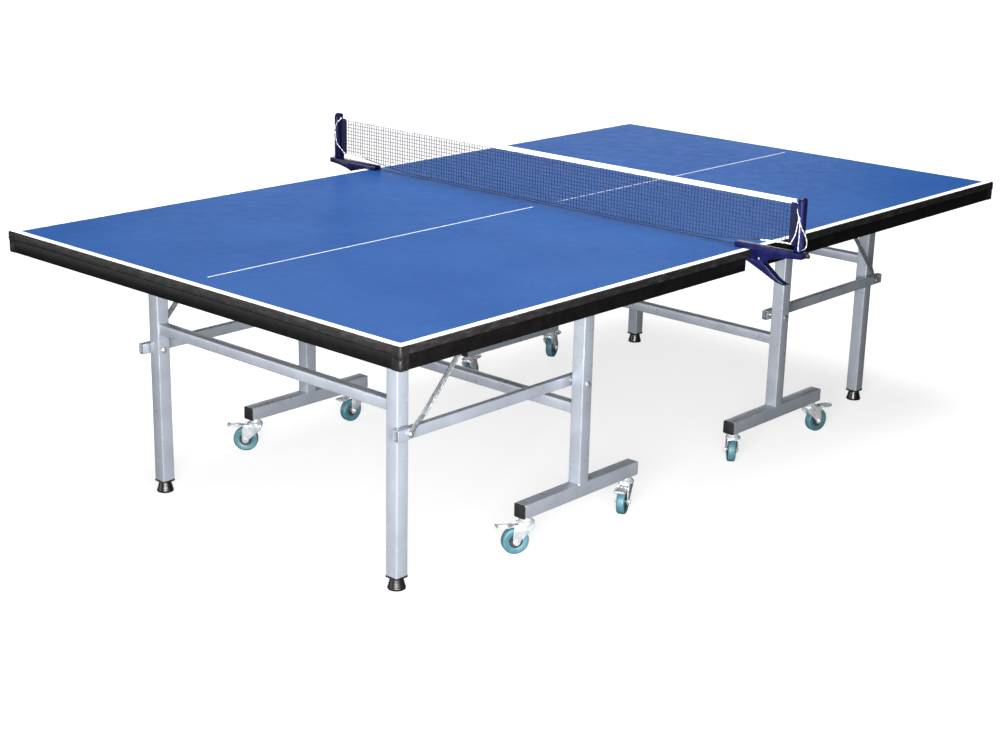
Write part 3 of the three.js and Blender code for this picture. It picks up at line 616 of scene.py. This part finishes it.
def build_top(name):
    body = "top_" + name[-1]
    place = half_place(name)
    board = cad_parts[name + "_board"]
    board.data.materials.clear()
    board.data.materials.append(SURFACE_PAINT)
    make(name + "_edge_band", [band_sweep(UPPER_BAND, SEAM)], body, BAND_PAINT, place=place)
    make(name + "_edge_channel", [band_sweep(LOWER_BAND, CLAMP_NOTCH), *(
        prism("x", [(sy * (HALF_WIDTH + out), SURFACE - down) for out, down in NOTCH_TRIM], SEAM, CLAMP_NOTCH)
        for sy in (-1, 1))], body, LOWER_PAINT, [name + "_edge_frame"], place)
    make(name + "_corner_caps", [corner_cap(side) for side in (-1, 1)], body, CAP_PLASTIC,
         place=place, smooth=50)
    top = SURFACE + LINE_RISE
    inner = HALF_WIDTH - LINE_WIDTH
    lines = [box(SEAM, HALF_LENGTH, inner, HALF_WIDTH, SURFACE - 0.1, top),
             box(SEAM, HALF_LENGTH, -HALF_WIDTH, -inner, SURFACE - 0.1, top),
             box(HALF_LENGTH - LINE_WIDTH, HALF_LENGTH, -inner, inner, SURFACE - 0.1, top),
             box(SEAM + CENTRE_LINE_GAP, HALF_LENGTH - LINE_WIDTH - CENTRE_LINE_GAP,
                 -CENTRE_LINE / 2, CENTRE_LINE / 2, SURFACE - 0.1, top)]
    make(name + "_lines", lines, body, LINE_PAINT, place=place)
    for hand in ("left", "right"):
        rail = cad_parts[f"{name}_{hand}_slide_rail"]
        rail.data.materials.clear()
        rail.data.materials.append(TUBE_PAINT)
    screws = []
    for side in (-1, 1):
        for x in (POST_X - 12, POST_X + 140, POST_X + 300, LEG_X - 140, LEG_X + 12):
            y = side * (BRACE_OUTER + SCREW_INSET)
            screws.append(lathe("z", (x, y), [(0, BOARD_BOTTOM - 6.2), (3.2, BOARD_BOTTOM - 5.6),
                                              (4.6, BOARD_BOTTOM - 4.2), (4.6, BOARD_BOTTOM - 3.2)], 14))
    make(name + "_rail_screws", screws, body, ZINC, place=place)


# ---------------------------------------------------------------- legs, posts and links


def build_legs(name):
    letter = name[-1]
    body = "leg_frame_" + letter
    place = half_place(name)
    shells = [tube("z", (LEG_X, side * LEG_Y), LEG_BOTTOM, TUBE_TOP, TUBE, TUBE) for side in (-1, 1)]
    reach = LEG_Y - TUBE / 2
    shells.append(tube("y", (LEG_X, LEG_CROSSBAR_Z), -reach - 1, reach + 1, CROSS_TUBE, CROSS_TUBE))
    for side in (-1, 1):
        shells.append(weld("y", (LEG_X, LEG_CROSSBAR_Z), side * (reach - 0.3), CROSS_TUBE, CROSS_TUBE,
                           11 + side))
    make(name + "_leg_tubes", shells, body, TUBE_PAINT, [name + "_leg_frame"], place)
    plugs = []
    for side in (-1, 1):
        for end, out in ((LEG_BOTTOM, -1), (TUBE_TOP, 1)):
            plugs.append(loft([
                [(LEG_X + u, side * LEG_Y + v, t) for u, v in rounded(w, w, r)]
                for w, r, t in (
                    (PLUG_WIDTH, 2.0, end - out * 12), (PLUG_WIDTH, 2.0, end - out * 3.4),
                    (TUBE + 2.2, 4.2, end - out * 3.2), (TUBE + 2.6, 4.4, end + out * 1.2),
                    (TUBE + 1.2, 3.8, end + out * 2.0))]))
    make(name + "_leg_plugs", plugs, body, PLUG, place=place)


def build_posts(name):
    letter = name[-1]
    body = "caster_frame_" + letter
    place = half_place(name)
    bar_z = BAR_BOTTOM + TUBE / 2
    reach = POST_Y - TUBE / 2
    for side in (-1, 1):
        hand = hand_of(name, side)
        here = half_place(name, side)
        shells = [
            tube("x", (POST_Y, bar_z), BAR_START, BAR_END, TUBE, TUBE),
            tube("z", (POST_X, POST_Y), BAR_BOTTOM + TUBE - 1, TUBE_TOP, TUBE, TUBE),
            weld("z", (POST_X, POST_Y), BAR_BOTTOM + TUBE + 0.2, TUBE - 1, TUBE, 21 + side),
        ]
        make(f"{name}_{hand}_post_tubes", shells, body, TUBE_PAINT,
             [f"{name}_{hand}_post_frame"], here)
        plugs = []
        for end, out in ((BAR_START, -1), (BAR_END, 1)):
            plugs.append(loft([
                [(t, POST_Y + u, bar_z + v) for u, v in rounded(w, w, r)]
                for w, r, t in (
                    (PLUG_WIDTH, 2.0, end - out * 12), (PLUG_WIDTH, 2.0, end), (TUBE - 0.6, 3.2, end),
                    (TUBE - 0.6, 3.2, end + out * 1.4), (TUBE - 2.6, 2.6, end + out * 2.6))]))
        top = rounded(TUBE - 1, TUBE - 1, 3)
        plugs.append(prism("z", [(POST_X + u, POST_Y + v) for u, v in top], TUBE_TOP - 0.2, TUBE_TOP + 1.4))
        make(f"{name}_{hand}_bar_plugs", plugs, body, PLUG, place=here, bevel=0.4)
    shells = [tube("y", (POST_X, POST_CROSSBAR_Z), -reach, reach, CROSS_TUBE, CROSS_TUBE)]
    for side in (-1, 1):
        shells.append(weld("y", (POST_X, POST_CROSSBAR_Z), side * (reach - 1.2), CROSS_TUBE, CROSS_TUBE,
                           31 + side))
    make(name + "_post_crossbar_tube", shells, body, TUBE_PAINT, [name + "_post_crossbar"], place)


def hand_of(name, side):
    return "left" if side * (-1 if name == "half_a" else 1) > 0 else "right"


def build_links(name):
    letter = name[-1]
    for side in (-1, 1):
        hand = hand_of(name, side)
        here = half_place(name, side)
        bar = tube("x", (LINK_Y, LINK_Z), POST_X - 19, LEG_X + 40, LINK_WIDTH, LINK_HEIGHT, 1.8, 3.0)
        make(f"{name}_{hand}_link_bar", [bar], "links_" + letter, TUBE_PAINT,
             [f"{name}_{hand}_link"], here)
        post_face = POST_Y + TUBE / 2 + 0.3
        nut_face = LEG_Y - TUBE / 2 - 0.3
        bolts = bolt("y", (POST_X, LINK_Z), post_face, 1) + bolt("y", (LEG_X, LINK_Z), nut_face, -1)
        bolts += bolt("y", (LEG_X, LINK_Z), BRACE_OUTER + 0.3, 1)
        bolts += bolt("y", (POST_X, LINK_Z), LINK_Y - LINK_WIDTH / 2 - 0.1, -1)
        bolts.append(rod("y", (POST_X, LINK_Z), LINK_Y, post_face, 5))
        bolts.append(rod("y", (LEG_X, LINK_Z), nut_face, BRACE_OUTER, 5))
        make(f"{name}_{hand}_link_bolts", bolts, "links_" + letter, ZINC, place=here)
        build_brace(name, hand, here)


def build_brace(name, hand, here):
    rise = PIVOT_Z - LINK_Z
    length = math.hypot(BRACE_REACH, rise)
    lean = math.atan2(BRACE_REACH, rise)

    def leaning(u, v):
        x = u * math.cos(lean) - v * math.sin(lean)
        return LEG_X + x, LINK_Z + u * math.sin(lean) + v * math.cos(lean)

    joggle = [(0, BRACE_INNER + 0.2), (34, BRACE_INNER + 0.2), (52, BRACE_STRAP), (length, BRACE_STRAP)]
    plate = []
    for along, y in joggle:
        half = 8.6 if along == 0 else 7.8
        corners = ((-half, 0), (half, 0), (half, STRAP_THICK), (-half, STRAP_THICK))
        plate.append([(*leaning(u, along), y + t) for u, t in corners])
    shells = [loft([[(x, y, z) for x, z, y in ring] for ring in plate])]
    for centre, y in ((0, BRACE_INNER + 0.2), (length, BRACE_STRAP)):
        shells.append(rod("y", leaning(0, centre), y, y + STRAP_THICK, 9, 28, 0.3))
    for edge in (-1, 1):
        rail = [(edge * 8, 60), (edge * 8, length - 14), (edge * 6.2, length - 16), (edge * 6.2, 62)]
        shells.append(prism("y", [leaning(*p) for p in rail], BRACE_STRAP + 1.6, BRACE_STRAP + 4.0))
    body = "braces_" + name[-1]
    make(f"{name}_{hand}_brace_strap", shells, body, ZINC, [f"{name}_{hand}_brace"], here, bevel=0.35)
    pins = [rod("y", leaning(0, length), BRACE_INNER - 0.5, BRACE_STRAP + 4.2, 6.2, ease=0.8),
            rod("y", leaning(0, length), BRACE_INNER - 0.4, BRACE_STRAP - 0.1, 7.5, ease=0.5)]
    pins.append(rod("y", leaning(0, length * 0.86), BRACE_STRAP - 1.2, BRACE_STRAP + 3.6, 4.4, ease=0.8))
    make(f"{name}_{hand}_brace_pins", pins, body, ZINC, place=here)


# ---------------------------------------------------------------- feet and casters

FOOT_PROFILE = [
    (0, 0.6), (20, 0.6), (20.6, 0), (23, 0), (23.7, 0.7), (24, 2.4), (23.8, 4.4), (22.9, 5.2), (22.6, 6.4),
    (21.9, 9.5), (21.0, 13.0), (20.1, 16.5), (19.2, 20.0), (18.4, 23.5), (17.8, 26.4), (17.2, 28.2),
    (15.8, 29.0), (6.5, 29.2), (0, 29.2),
]


def build_feet(name):
    for side in (-1, 1):
        hand = hand_of(name, side)
        here = half_place(name, side)
        body = f"foot_{name[-1]}_{hand}"
        rubber = lathe("z", (LEG_X, LEG_Y), FOOT_PROFILE, 40)
        make(f"{name}_{hand}_foot_pad", [rubber], body, RUBBER, [f"{name}_{hand}_foot"], here)
        stem = [rod("z", (LEG_X, LEG_Y), 25, 60, 5.6), hexagon("z", (LEG_X, LEG_Y), 28, LEG_BOTTOM - 2, 19)]
        make(f"{name}_{hand}_foot_stem", stem, body, ZINC, place=here)


TRAIL = 30
WHEEL_R = 37.5
CROWN = 83
FORK_INNER = 14.6
FORK_OUTER = 17.4
RACE_PROFILE = [
    (0, 2), (22, 2), (22.9, 3.4), (23, 6.4), (22.2, 8), (19.4, 9.4), (18.6, 9.8), (17.4, 11.2), (16.2, 13),
    (14.5, 16.4), (13.4, 19.6), (0, 20.7),
]


def plate_outline():
    """Side plate of a caster fork, seen along its axle."""
    points = [(-19.0, CROWN + 3), (-19.4, CROWN - 5), (-17.5, CROWN - 12), (-6.0, 62), (9.0, 48), (18.5, 40)]
    for i in range(1, 12):
        angle = math.pi * (1 + i / 12) - 0.1
        points.append((TRAIL + 10.5 * math.cos(angle), WHEEL_R + 10.5 * math.sin(angle)))
    points += [(40.2, 41), (40.0, 56), (39.0, CROWN - 10), (36.5, CROWN - 2), (33.0, CROWN + 3)]
    return points


def mirrored(half):
    """A wheel profile from its -Y half."""
    return half + [(radius, -y) for radius, y in reversed(half)]


def build_caster(name, body, turn, centre):
    """One caster; turn and centre put its swivel axis in the table's space."""
    cos, sin = math.cos(turn), math.sin(turn)

    def here(p):
        return Vector((centre.x + cos * p[0] - sin * p[1], centre.y + sin * p[0] + cos * p[1], p[2]))

    fork = [prism("y", plate_outline(), side * FORK_INNER, side * FORK_OUTER) for side in (-1, 1)]
    crown = rounded(46, 34.4, 6)
    fork.append(prism("z", [(u + 2.6, v) for u, v in crown], CROWN, CROWN + 3))
    make(name + "_fork_plates", fork, body + "_fork", CHROME, [name + "_fork"], here, bevel=0.7)
    race = [
        lathe("z", (0, 0), [(radius, CROWN + rise) for radius, rise in RACE_PROFILE], 40),
        rod("z", (0, 0), CROWN + 18, BAR_BOTTOM + 12, 5.5),
        rod("z", (0, 0), BAR_BOTTOM - 2.4, BAR_BOTTOM - 0.3, 9.5),
    ]
    for out in (1, -1):
        race += bolt("y", (TRAIL, WHEEL_R), out * (FORK_OUTER + 0.1), out, 11, 6.8, 4.2)
    race.append(rod("y", (TRAIL, WHEEL_R), -18, 18, 3.9))
    make(name + "_fork_bearing", race, body + "_fork", CHROME, place=here)
    tyre = mirrored([(19.6, -9.6), (21.0, -10.4), (27.0, -11.2), (31.0, -11.9), (34.2, -11.7), (36.2, -10.4),
                     (37.2, -7.8), (37.5, -4.0)]) + [(19.0, 7.0), (19.0, -7.0)]
    make(name + "_wheel_tyre", [lathe("y", (TRAIL, WHEEL_R), tyre, 48, True)], body + "_wheel", TYRE,
         [name + "_wheel"], here)
    disc = mirrored([(4.8, -11.9), (9.4, -11.9), (10.2, -11.2), (10.6, -8.6), (11.6, -7.4), (15.6, -7.4),
                     (16.6, -8.4), (17.2, -10.2), (19.2, -10.4), (19.8, -8.0)])
    hub = [lathe("y", (TRAIL, WHEEL_R), disc, 48, True)]
    for k in range(6):
        a = k * math.pi / 3
        u, v = math.cos(a), math.sin(a)
        rib = [(TRAIL + r * u - s * 1.2 * v, WHEEL_R + r * v + s * 1.2 * u)
               for r, s in ((10, -1), (18, -1), (18, 1), (10, 1))]
        hub.append(prism("y", rib, -9.6, 9.6))
    make(name + "_wheel_hub", hub, body + "_wheel", HUB, place=here)
    build_pedal(name, body, here)


def build_pedal(name, body, here):
    """Brake pedal: a pressed plate with turned-up sides and a curled toe."""
    z = 79
    pivot = 27
    rows = [(-4, 12.4, 0), (2, 13.4, 0.2), (12, 13.6, 0.4), (17, 13.8, 0.5), (22, 16.2, 0.4), (28, 17.4, 0),
            (40, 17.6, -0.6), (50, 17.0, -0.9), (54, 15.4, -0.4), (56.4, 13.4, 1.0), (57.6, 12.0, 3.4),
            (58, 11.4, 5.8)]
    across = (-1.0, -0.94, -0.8, 0.8, 0.94, 1.0)
    rings = []
    for reach, half, lift in rows:
        ring = []
        for s in across:
            curl = 1.6 if abs(s) > 0.95 else 0.5 if abs(s) > 0.9 else 0
            ring.append((pivot + reach, s * half, z + lift + 1.4 + curl))
        for s in reversed(across):
            curl = 1.4 if abs(s) > 0.95 else 0.2 if abs(s) > 0.9 else 0
            ring.append((pivot + reach, s * half, z + lift - 0.8 + curl))
        rings.append(ring)
    ribs = [box(pivot + 24, pivot + 50, y - 1.1, y + 1.1, z, z + 2.4) for y in (-8, 0, 8)]
    pin = rod("y", (pivot, z), -17.2, 17.2, 1.9)
    make(name + "_pedal_plate", [loft(rings), *ribs, pin], body + "_pedal", CHROME,
         [name + "_pedal"], here, smooth=45)


def build_casters(name):
    for side in (-1, 1):
        hand = hand_of(name, side)
        place = half_place(name, side)
        for spot, x in (("inner", BAR_START + CASTER_INSET), ("outer", BAR_END - CASTER_INSET)):
            turn = math.radians(CASTER_HEADINGS[name][f"{hand}_{spot}"])
            body = f"caster_{name[-1]}_{hand}_{spot}"
            build_caster(f"{name}_{hand}_{spot}_caster", body, turn, place((x, POST_Y, 0)))


# ---------------------------------------------------------------- net

NET_TOP = mm_box("net_cloth")[1].z
MESH_PITCH = 11.0
TWINE_RADIUS = 0.935
MESH_HALF = 872.0
WHITE_CORD = 785.0
TAPE_HEIGHT = 14.5
NET_LINE = -8.0


def net_foot(y):
    """Height of the net's lower cord above the floor at y: it climbs over the clamps."""
    t = min(max((abs(y) - 560) / 320, 0.0), 1.0)
    return SURFACE + 8.5 + 24.5 * t * t * (3 - 2 * t)


def net_place(point):
    return Vector(point) + Vector((NET_LINE, 0, 0))


def build_net():
    draw = random.Random(7)
    columns = round(2 * MESH_HALF / MESH_PITCH)
    tape_foot = NET_TOP - TAPE_HEIGHT
    ys = [-MESH_HALF + 2 * MESH_HALF * i / columns for i in range(columns + 1)]
    rows = [tape_foot + 3 - MESH_PITCH * (j + 0.3) for j in range(14)]
    knot = {}
    for i, y in enumerate(ys):
        for j, z in enumerate(rows):
            if z > net_foot(y) + 0.35 * MESH_PITCH:
                knot[i, j] = Vector((draw.uniform(-0.2, 0.2), y + draw.uniform(-0.35, 0.35),
                                     z + draw.uniform(-0.35, 0.35)))
    strands = []
    for i, y in enumerate(ys):
        column = [knot[i, j] for j in range(len(rows)) if (i, j) in knot]
        line = [Vector((0, y, tape_foot + 4)), *column, Vector((0, y + draw.uniform(-1, 1), net_foot(y)))]
        strands.append(sweep(line, TWINE_RADIUS, 4))
    for j in range(len(rows)):
        run = []
        for i in range(len(ys) + 1):
            if (i, j) in knot:
                run.append(knot[i, j])
            else:
                if len(run) > 1:
                    strands.append(sweep(run, TWINE_RADIUS, 4))
                run = []
    mesh = make("net_mesh", strands, "top_a", TWINE, ["net_cloth"], net_place)
    dense = [WHITE_CORD * (-1 + 2 * i / 220) for i in range(221)]
    foot = make("net_lower_cord", [sweep([(0, y, net_foot(y)) for y in dense], 1.5, 6)], "top_a", TWINE,
                place=net_place)
    knotted = []
    for side in (-1, 1):
        ends = [side * (WHITE_CORD - 4 + (MESH_HALF + 14 - WHITE_CORD) * i / 40) for i in range(41)]
        radii = [1.5 + (0.8 if i % 3 else 0.0) for i in range(41)]
        knotted.append(sweep([(0, y, net_foot(y)) for y in ends], radii, 8))
    white = make("net_lower_braid", knotted, "top_a", BRAID, place=net_place)
    rings = []
    reach = MESH_HALF + 16
    for i in range(121):
        y = reach * (-1 + 2 * i / 120)
        drop = 0.25 * math.sin(i * 1.7)
        pinch = 0.75 if i in (0, 120) else 1.0
        top = NET_TOP - 0.2
        low = tape_foot + drop
        rings.append([(pinch * x, y, z) for x, z in (
            (-1.35, low + 0.6), (-1.45, low + 2.0), (-1.1, low + 3.2), (-1.2, top - 5.0), (-1.45, top - 2.2),
            (-1.0, top - 0.6), (0.0, top), (1.0, top - 0.6), (1.45, top - 2.2), (1.2, top - 5.0),
            (1.1, low + 3.2), (1.45, low + 2.0), (1.35, low + 0.6), (0.0, low))])
    tape = make("net_tape", [loft(rings)], "top_a", TAPE, place=net_place, smooth=60)
    sleeves = []
    for side in (-1, 1):
        rings = []
        for i in range(25):
            z = net_foot(MESH_HALF) - 3 + (tape_foot + 8 - net_foot(MESH_HALF)) * i / 24
            swell = 0.25 * math.sin(i * 2.1)
            rings.append([
                (u * (1 + 0.1 * swell), side * (MESH_HALF + 11.5 + 0.4 * swell) + v, z)
                for u, v in rounded(2.9, 23, 1.4, 3)])
        sleeves.append(loft(rings))
    sleeve = make("net_sleeves", sleeves, "top_a", SLEEVE, place=net_place, smooth=60)


def clamp_place(side):
    return lambda p: Vector((p[0], side * (HALF_WIDTH + p[1]), SURFACE + p[2]))


def arc(centre, radius, start, end, steps=8):
    return [(centre[0] + radius * math.cos(math.radians(start + (end - start) * i / steps)),
             centre[1] + radius * math.sin(math.radians(start + (end - start) * i / steps)))
            for i in range(steps + 1)]


CLAMP_X0 = -30
CLAMP_X1 = -4
CLAMP_TOP = 15
CLAMP_PLATE = 2.2
LEVER_PLATE = 2.0
JAW_REACH = 50
ARM_END = 167.5
POST_OUT = 144.5
POST_HALF = 15
POST_HALF_DEPTH = 7
POST_SHEET = 2.5
RIVET_Y = 32
RIVET_Z = -20


def quadratic(a, b, c, steps=12):
    return [((1 - t) ** 2 * a[0] + 2 * t * (1 - t) * b[0] + t * t * c[0],
             (1 - t) ** 2 * a[1] + 2 * t * (1 - t) * b[1] + t * t * c[1])
            for t in (i / steps for i in range(steps + 1))]


def build_clamp(hand, side):
    here = clamp_place(side)
    post_top = NET_TOP - SURFACE + 7
    web = [(4.7, 0.3), (4.7, -20), *arc((9, -20), 4.2, 180, 270, 5)[1:], (RIVET_Y + 16, -24.2)]
    web += quadratic((RIVET_Y + 20, -23.6), (0.55 * ARM_END, -3.7), (ARM_END, 0.3))
    web += [(ARM_END, CLAMP_TOP - 4), *arc((ARM_END - 4, CLAMP_TOP - 4), 4, 0, 90, 5)[1:]]
    web += [(4 - JAW_REACH, CLAMP_TOP), *arc((4 - JAW_REACH, CLAMP_TOP - 4), 4, 90, 180, 5)[1:],
            (-JAW_REACH, 0.3)]
    shells = [prism("x", web, x, x + CLAMP_PLATE) for x in (CLAMP_X0, CLAMP_X1 - CLAMP_PLATE)]
    shells.append(box(CLAMP_X0 + 0.3, CLAMP_X1 - 0.3, 0.5 - JAW_REACH, ARM_END - 1.5, CLAMP_TOP - 2.4,
                      CLAMP_TOP + 0.05))
    shells.append(box(CLAMP_X0 + 0.3, CLAMP_X1 - 0.3, 0.5 - JAW_REACH, -1, 0.3, 2.6))
    near = POST_OUT - POST_HALF_DEPTH
    far = POST_OUT + POST_HALF_DEPTH
    shells.append(box(CLAMP_X0 + 0.6, NET_LINE + 14.6, near, ARM_END - 0.3, 0.4, CLAMP_TOP - 0.2))
    shells.append(box(NET_LINE - POST_HALF, NET_LINE + POST_HALF, near, far + 0.5, CLAMP_TOP - 1,
                      CLAMP_TOP + 3.5))
    make(f"net_{hand}_arm", shells, "top_a", ENAMEL, [f"net_{hand}_bracket"], here, bevel=0.5)
    crest = [(POST_HALF, CLAMP_TOP), (POST_HALF, post_top - 13), *arc((3, post_top - 13), 12, 0, 78, 7)[1:],
             *arc((-3, post_top - 13), 12, 102, 180, 7), (-POST_HALF, post_top - 13), (-POST_HALF, CLAMP_TOP)]
    back = prism("y", crest, far - POST_SHEET, far)
    wings = [prism("x", [(near, CLAMP_TOP), (far - 0.5, CLAMP_TOP), (far - 0.5, post_top - 12),
                         (far - 6, post_top - 10), (near, post_top - 16)], x, x + POST_SHEET)
             for x in (-POST_HALF, POST_HALF - POST_SHEET)]
    lid = [(14.6, post_top - 14.5), *arc((3, post_top - 13), 11.6, 0, 78, 7),
           *arc((-3, post_top - 13), 11.6, 102, 180, 7), (-14.6, post_top - 14.5)]
    cover = prism("y", lid, near + 2, far - 2)
    hook = [(-1, 4), (3, 4.5), (6, 7), (6, 11)]
    hooks = [sweep(catmull([(x, far + out, CLAMP_TOP + rise) for out, rise in hook], 5), 1.3, 8)
             for x in (-13, 13)]
    make(f"net_{hand}_post", [back, *wings, cover, *hooks], "top_a", ENAMEL, bevel=0.45,
         place=lambda p: here((p[0] + NET_LINE, p[1], p[2])))
    ring = []
    for i in range(72):
        a = 2 * math.pi * i / 72
        ring.append((math.cos(a), math.sin(a), 0.35 * max(0.0, math.cos(12 * a))))
    rings = []
    for size, y in ((4.9, 167.3), (5.9, 168.2), (5.9, 176.2), (5.0, 177.8), (2.4, 178.4)):
        rings.append([(NET_LINE + (size + r) * u, y, 7.5 + (size + r) * v) for u, v, r in ring])
    make(f"net_{hand}_knob", [loft(rings)], "top_a", PLUG, place=here)
    build_lever(hand, side)


def strip(points, thick):
    """Outline of a band of metal that follows points, thick to their left."""
    other = []
    for i, (x, y) in enumerate(points):
        a = points[max(i - 1, 0)]
        b = points[min(i + 1, len(points) - 1)]
        dx, dy = b[0] - a[0], b[1] - a[1]
        size = math.hypot(dx, dy)
        other.append((x - thick * dy / size, y + thick * dx / size))
    return [*points, *reversed(other)]


def build_lever(hand, side):
    here = clamp_place(side)
    x0 = CLAMP_X0 + 2.8
    x1 = CLAMP_X1 - 2.8
    under = [(-28, -31.6), *quadratic((-8, -33.5), (38, -52), (62, -64), 10),
             *quadratic((70, -68), (96, -80), (118, -80.5), 8)]
    tip = arc((120.5, -78.8), 1.7, -90, 70, 6)
    inner = [(112, -76.2), (101, -71.5), (89, -64.5), (76, -54.5), (64, -45), (53, -36.5)]
    upper = [*inner, (46, -30), (41, -22), (38, -16), (36, -13.9), (4.7, -13.9), (4.7, -24.6),
             (-28, -24.6)]
    plates = [prism("x", [*under, *tip, *upper], x, x + LEVER_PLATE) for x in (x0, x1 - LEVER_PLATE)]
    web = prism("x", strip(under, LEVER_PLATE), x0 + 0.2, x1 - 0.2)
    lip = prism("x", strip(list(reversed(inner)), -1.6), x0, x1)
    jaw = box(x0 + 0.2, x1 - 0.2, -28, 2, -26.8, -24.7)
    make(f"net_{hand}_lever_plates", [*plates, web, lip, jaw], f"net_{hand}_clamp_lever", ENAMEL,
         [f"net_{hand}_lever"], here, bevel=0.4)
    head = []
    for out, x in ((-1, CLAMP_X0 - 0.1), (1, CLAMP_X1 + 0.1)):
        dome = [(3.4, x), (3.2, x + out * 0.7), (2.4, x + out * 1.4), (0, x + out * 1.6)]
        head.append(lathe("x", (RIVET_Y, RIVET_Z), dome, 20))
    head.append(rod("x", (RIVET_Y, RIVET_Z), CLAMP_X0, CLAMP_X1, 2.9))
    head.append(prism("x", strip(list(reversed(inner)), -1.0), x0 - 0.1, x0 + 1.9))
    make(f"net_{hand}_rivet", head, f"net_{hand}_clamp_lever", ZINC, place=here)


def build_tension_cord(hand, side):
    here = clamp_place(side)
    face = NET_LINE - 17.2
    knot = (face, POST_OUT + 4, 110)
    route = [
        (NET_LINE - 3, POST_OUT - 11, 147), (face + 1, POST_OUT - 4, 131), knot, (face, POST_OUT + 8.6, 96),
        (-12, POST_OUT + 9.4, 77), (2, POST_OUT + 11, 58), (6, POST_OUT + 13, 44), (6, POST_OUT + 13.4, 31),
        (1, POST_OUT + 12, 24), (-10, POST_OUT + 9.6, 22), (face, POST_OUT + 8.4, 22),
        (face, POST_OUT + 8, 60), (face, POST_OUT + 7, 98), knot, (face, POST_OUT + 1, 98),
        (face + 1, POST_OUT - 5, 66),
        (NET_LINE - 7, POST_OUT - 20, 43), (NET_LINE - 4, POST_OUT - 27, 34),
    ]
    shells = [sweep(catmull(route, 8), 1.2, 10)]
    for x, y, z in (knot, route[0], route[-1]):
        ring = [(x + 2.2 * math.cos(a), y + 2.4 * math.sin(a), z + 1.2 * math.sin(2 * a)) for a in
                (2 * math.pi * k / 16 for k in range(16))]
        shells.append(sweep(ring, 1.2, 8, close=True))
    make(f"net_{hand}_cord_braid", shells, "top_a", BRAID, [f"net_{hand}_tension_cord"], here)


# ---------------------------------------------------------------- assembly

for half in ("half_a", "half_b"):
    build_top(half)
    build_legs(half)
    build_posts(half)
    build_links(half)
    build_feet(half)
    build_casters(half)
for the_hand, the_side in (("right", -1), ("left", 1)):
    build_clamp(the_hand, the_side)
    build_tension_cord(the_hand, the_side)
build_net()

# ---------------------------------------------------------------- floor and light


def add_floor():
    bpy.ops.mesh.primitive_plane_add(size=60, location=(0, 0, 0))
    floor = bpy.context.object
    floor.name = "floor"
    f = Finish("floor_pale", Emission_Color=(1.0, 1.0, 1.0, 1.0))
    away = f.node("ShaderNodeVectorMath", {"operation": "LENGTH"}).outputs["Value"]
    f.put(f.coordinates["Object"], away.node.inputs[0])
    f.put(f.spread(away, 0.72, 1.0, 2.0, 6.0), f.shader.inputs["Emission Strength"])
    base = f.ramp(f.noise(1.5, 4.0), (0.3, colour(148, 148, 148)), (0.7, colour(152, 152, 152)))
    floor.data.materials.append(f.done(base, f.spread(f.noise(4.0), 0.85, 0.9)))
    floor.visible_diffuse = False
    floor.visible_glossy = False


def add_light(name, place, target, size, power):
    data = bpy.data.lights.new(name, "AREA")
    data.shape = "RECTANGLE"
    data.size, data.size_y = size
    data.energy = power
    light = bpy.data.objects.new(name, data)
    light.visible_camera = False
    aim = Vector(target) - Vector(place)
    light.matrix_world = Matrix.Translation(place) @ aim.to_track_quat("-Z", "Y").to_matrix().to_4x4()
    bpy.context.scene.collection.objects.link(light)


def add_world():
    world = bpy.data.worlds.new("studio")
    world.use_nodes = True
    tree = world.node_tree
    background = tree.nodes["Background"]
    background.inputs["Color"].default_value = (1.0, 1.0, 1.0, 1.0)
    background.inputs["Strength"].default_value = 0.08
    seen = tree.nodes.new("ShaderNodeBackground")
    mixed = tree.nodes.new("ShaderNodeMixShader")
    path = tree.nodes.new("ShaderNodeLightPath")
    tree.links.new(path.outputs["Is Camera Ray"], mixed.inputs["Fac"])
    tree.links.new(background.outputs["Background"], mixed.inputs[1])
    tree.links.new(seen.outputs["Background"], mixed.inputs[2])
    tree.links.new(mixed.outputs["Shader"], tree.nodes["World Output"].inputs["Surface"])
    seen.inputs["Color"].default_value = (1.0, 1.0, 1.0, 1.0)
    bpy.context.scene.world = world


add_floor()
add_world()
add_light("key", (-3.4, -2.2, 1.0), (-1.0, -0.3, 0.4), (1.4, 1.0), 285)
add_light("near", (-1.9, -2.3, 0.8), (-1.0, -0.4, 0.3), (1.0, 0.7), 74)
add_light("top", (0.3, 0.3, 5.5), (0, 0, 0.5), (4, 3.5), 570)
add_light("wall", (-6.5, 4.0, 0.7), (-1.4, 0, 0.6), (5, 1.4), 130)
add_light("backdrop", (6.0, 5.8, 1.3), (0, 0, 0.7), (6, 1.4), 50)
bpy.context.scene.view_settings.view_transform = "Standard"
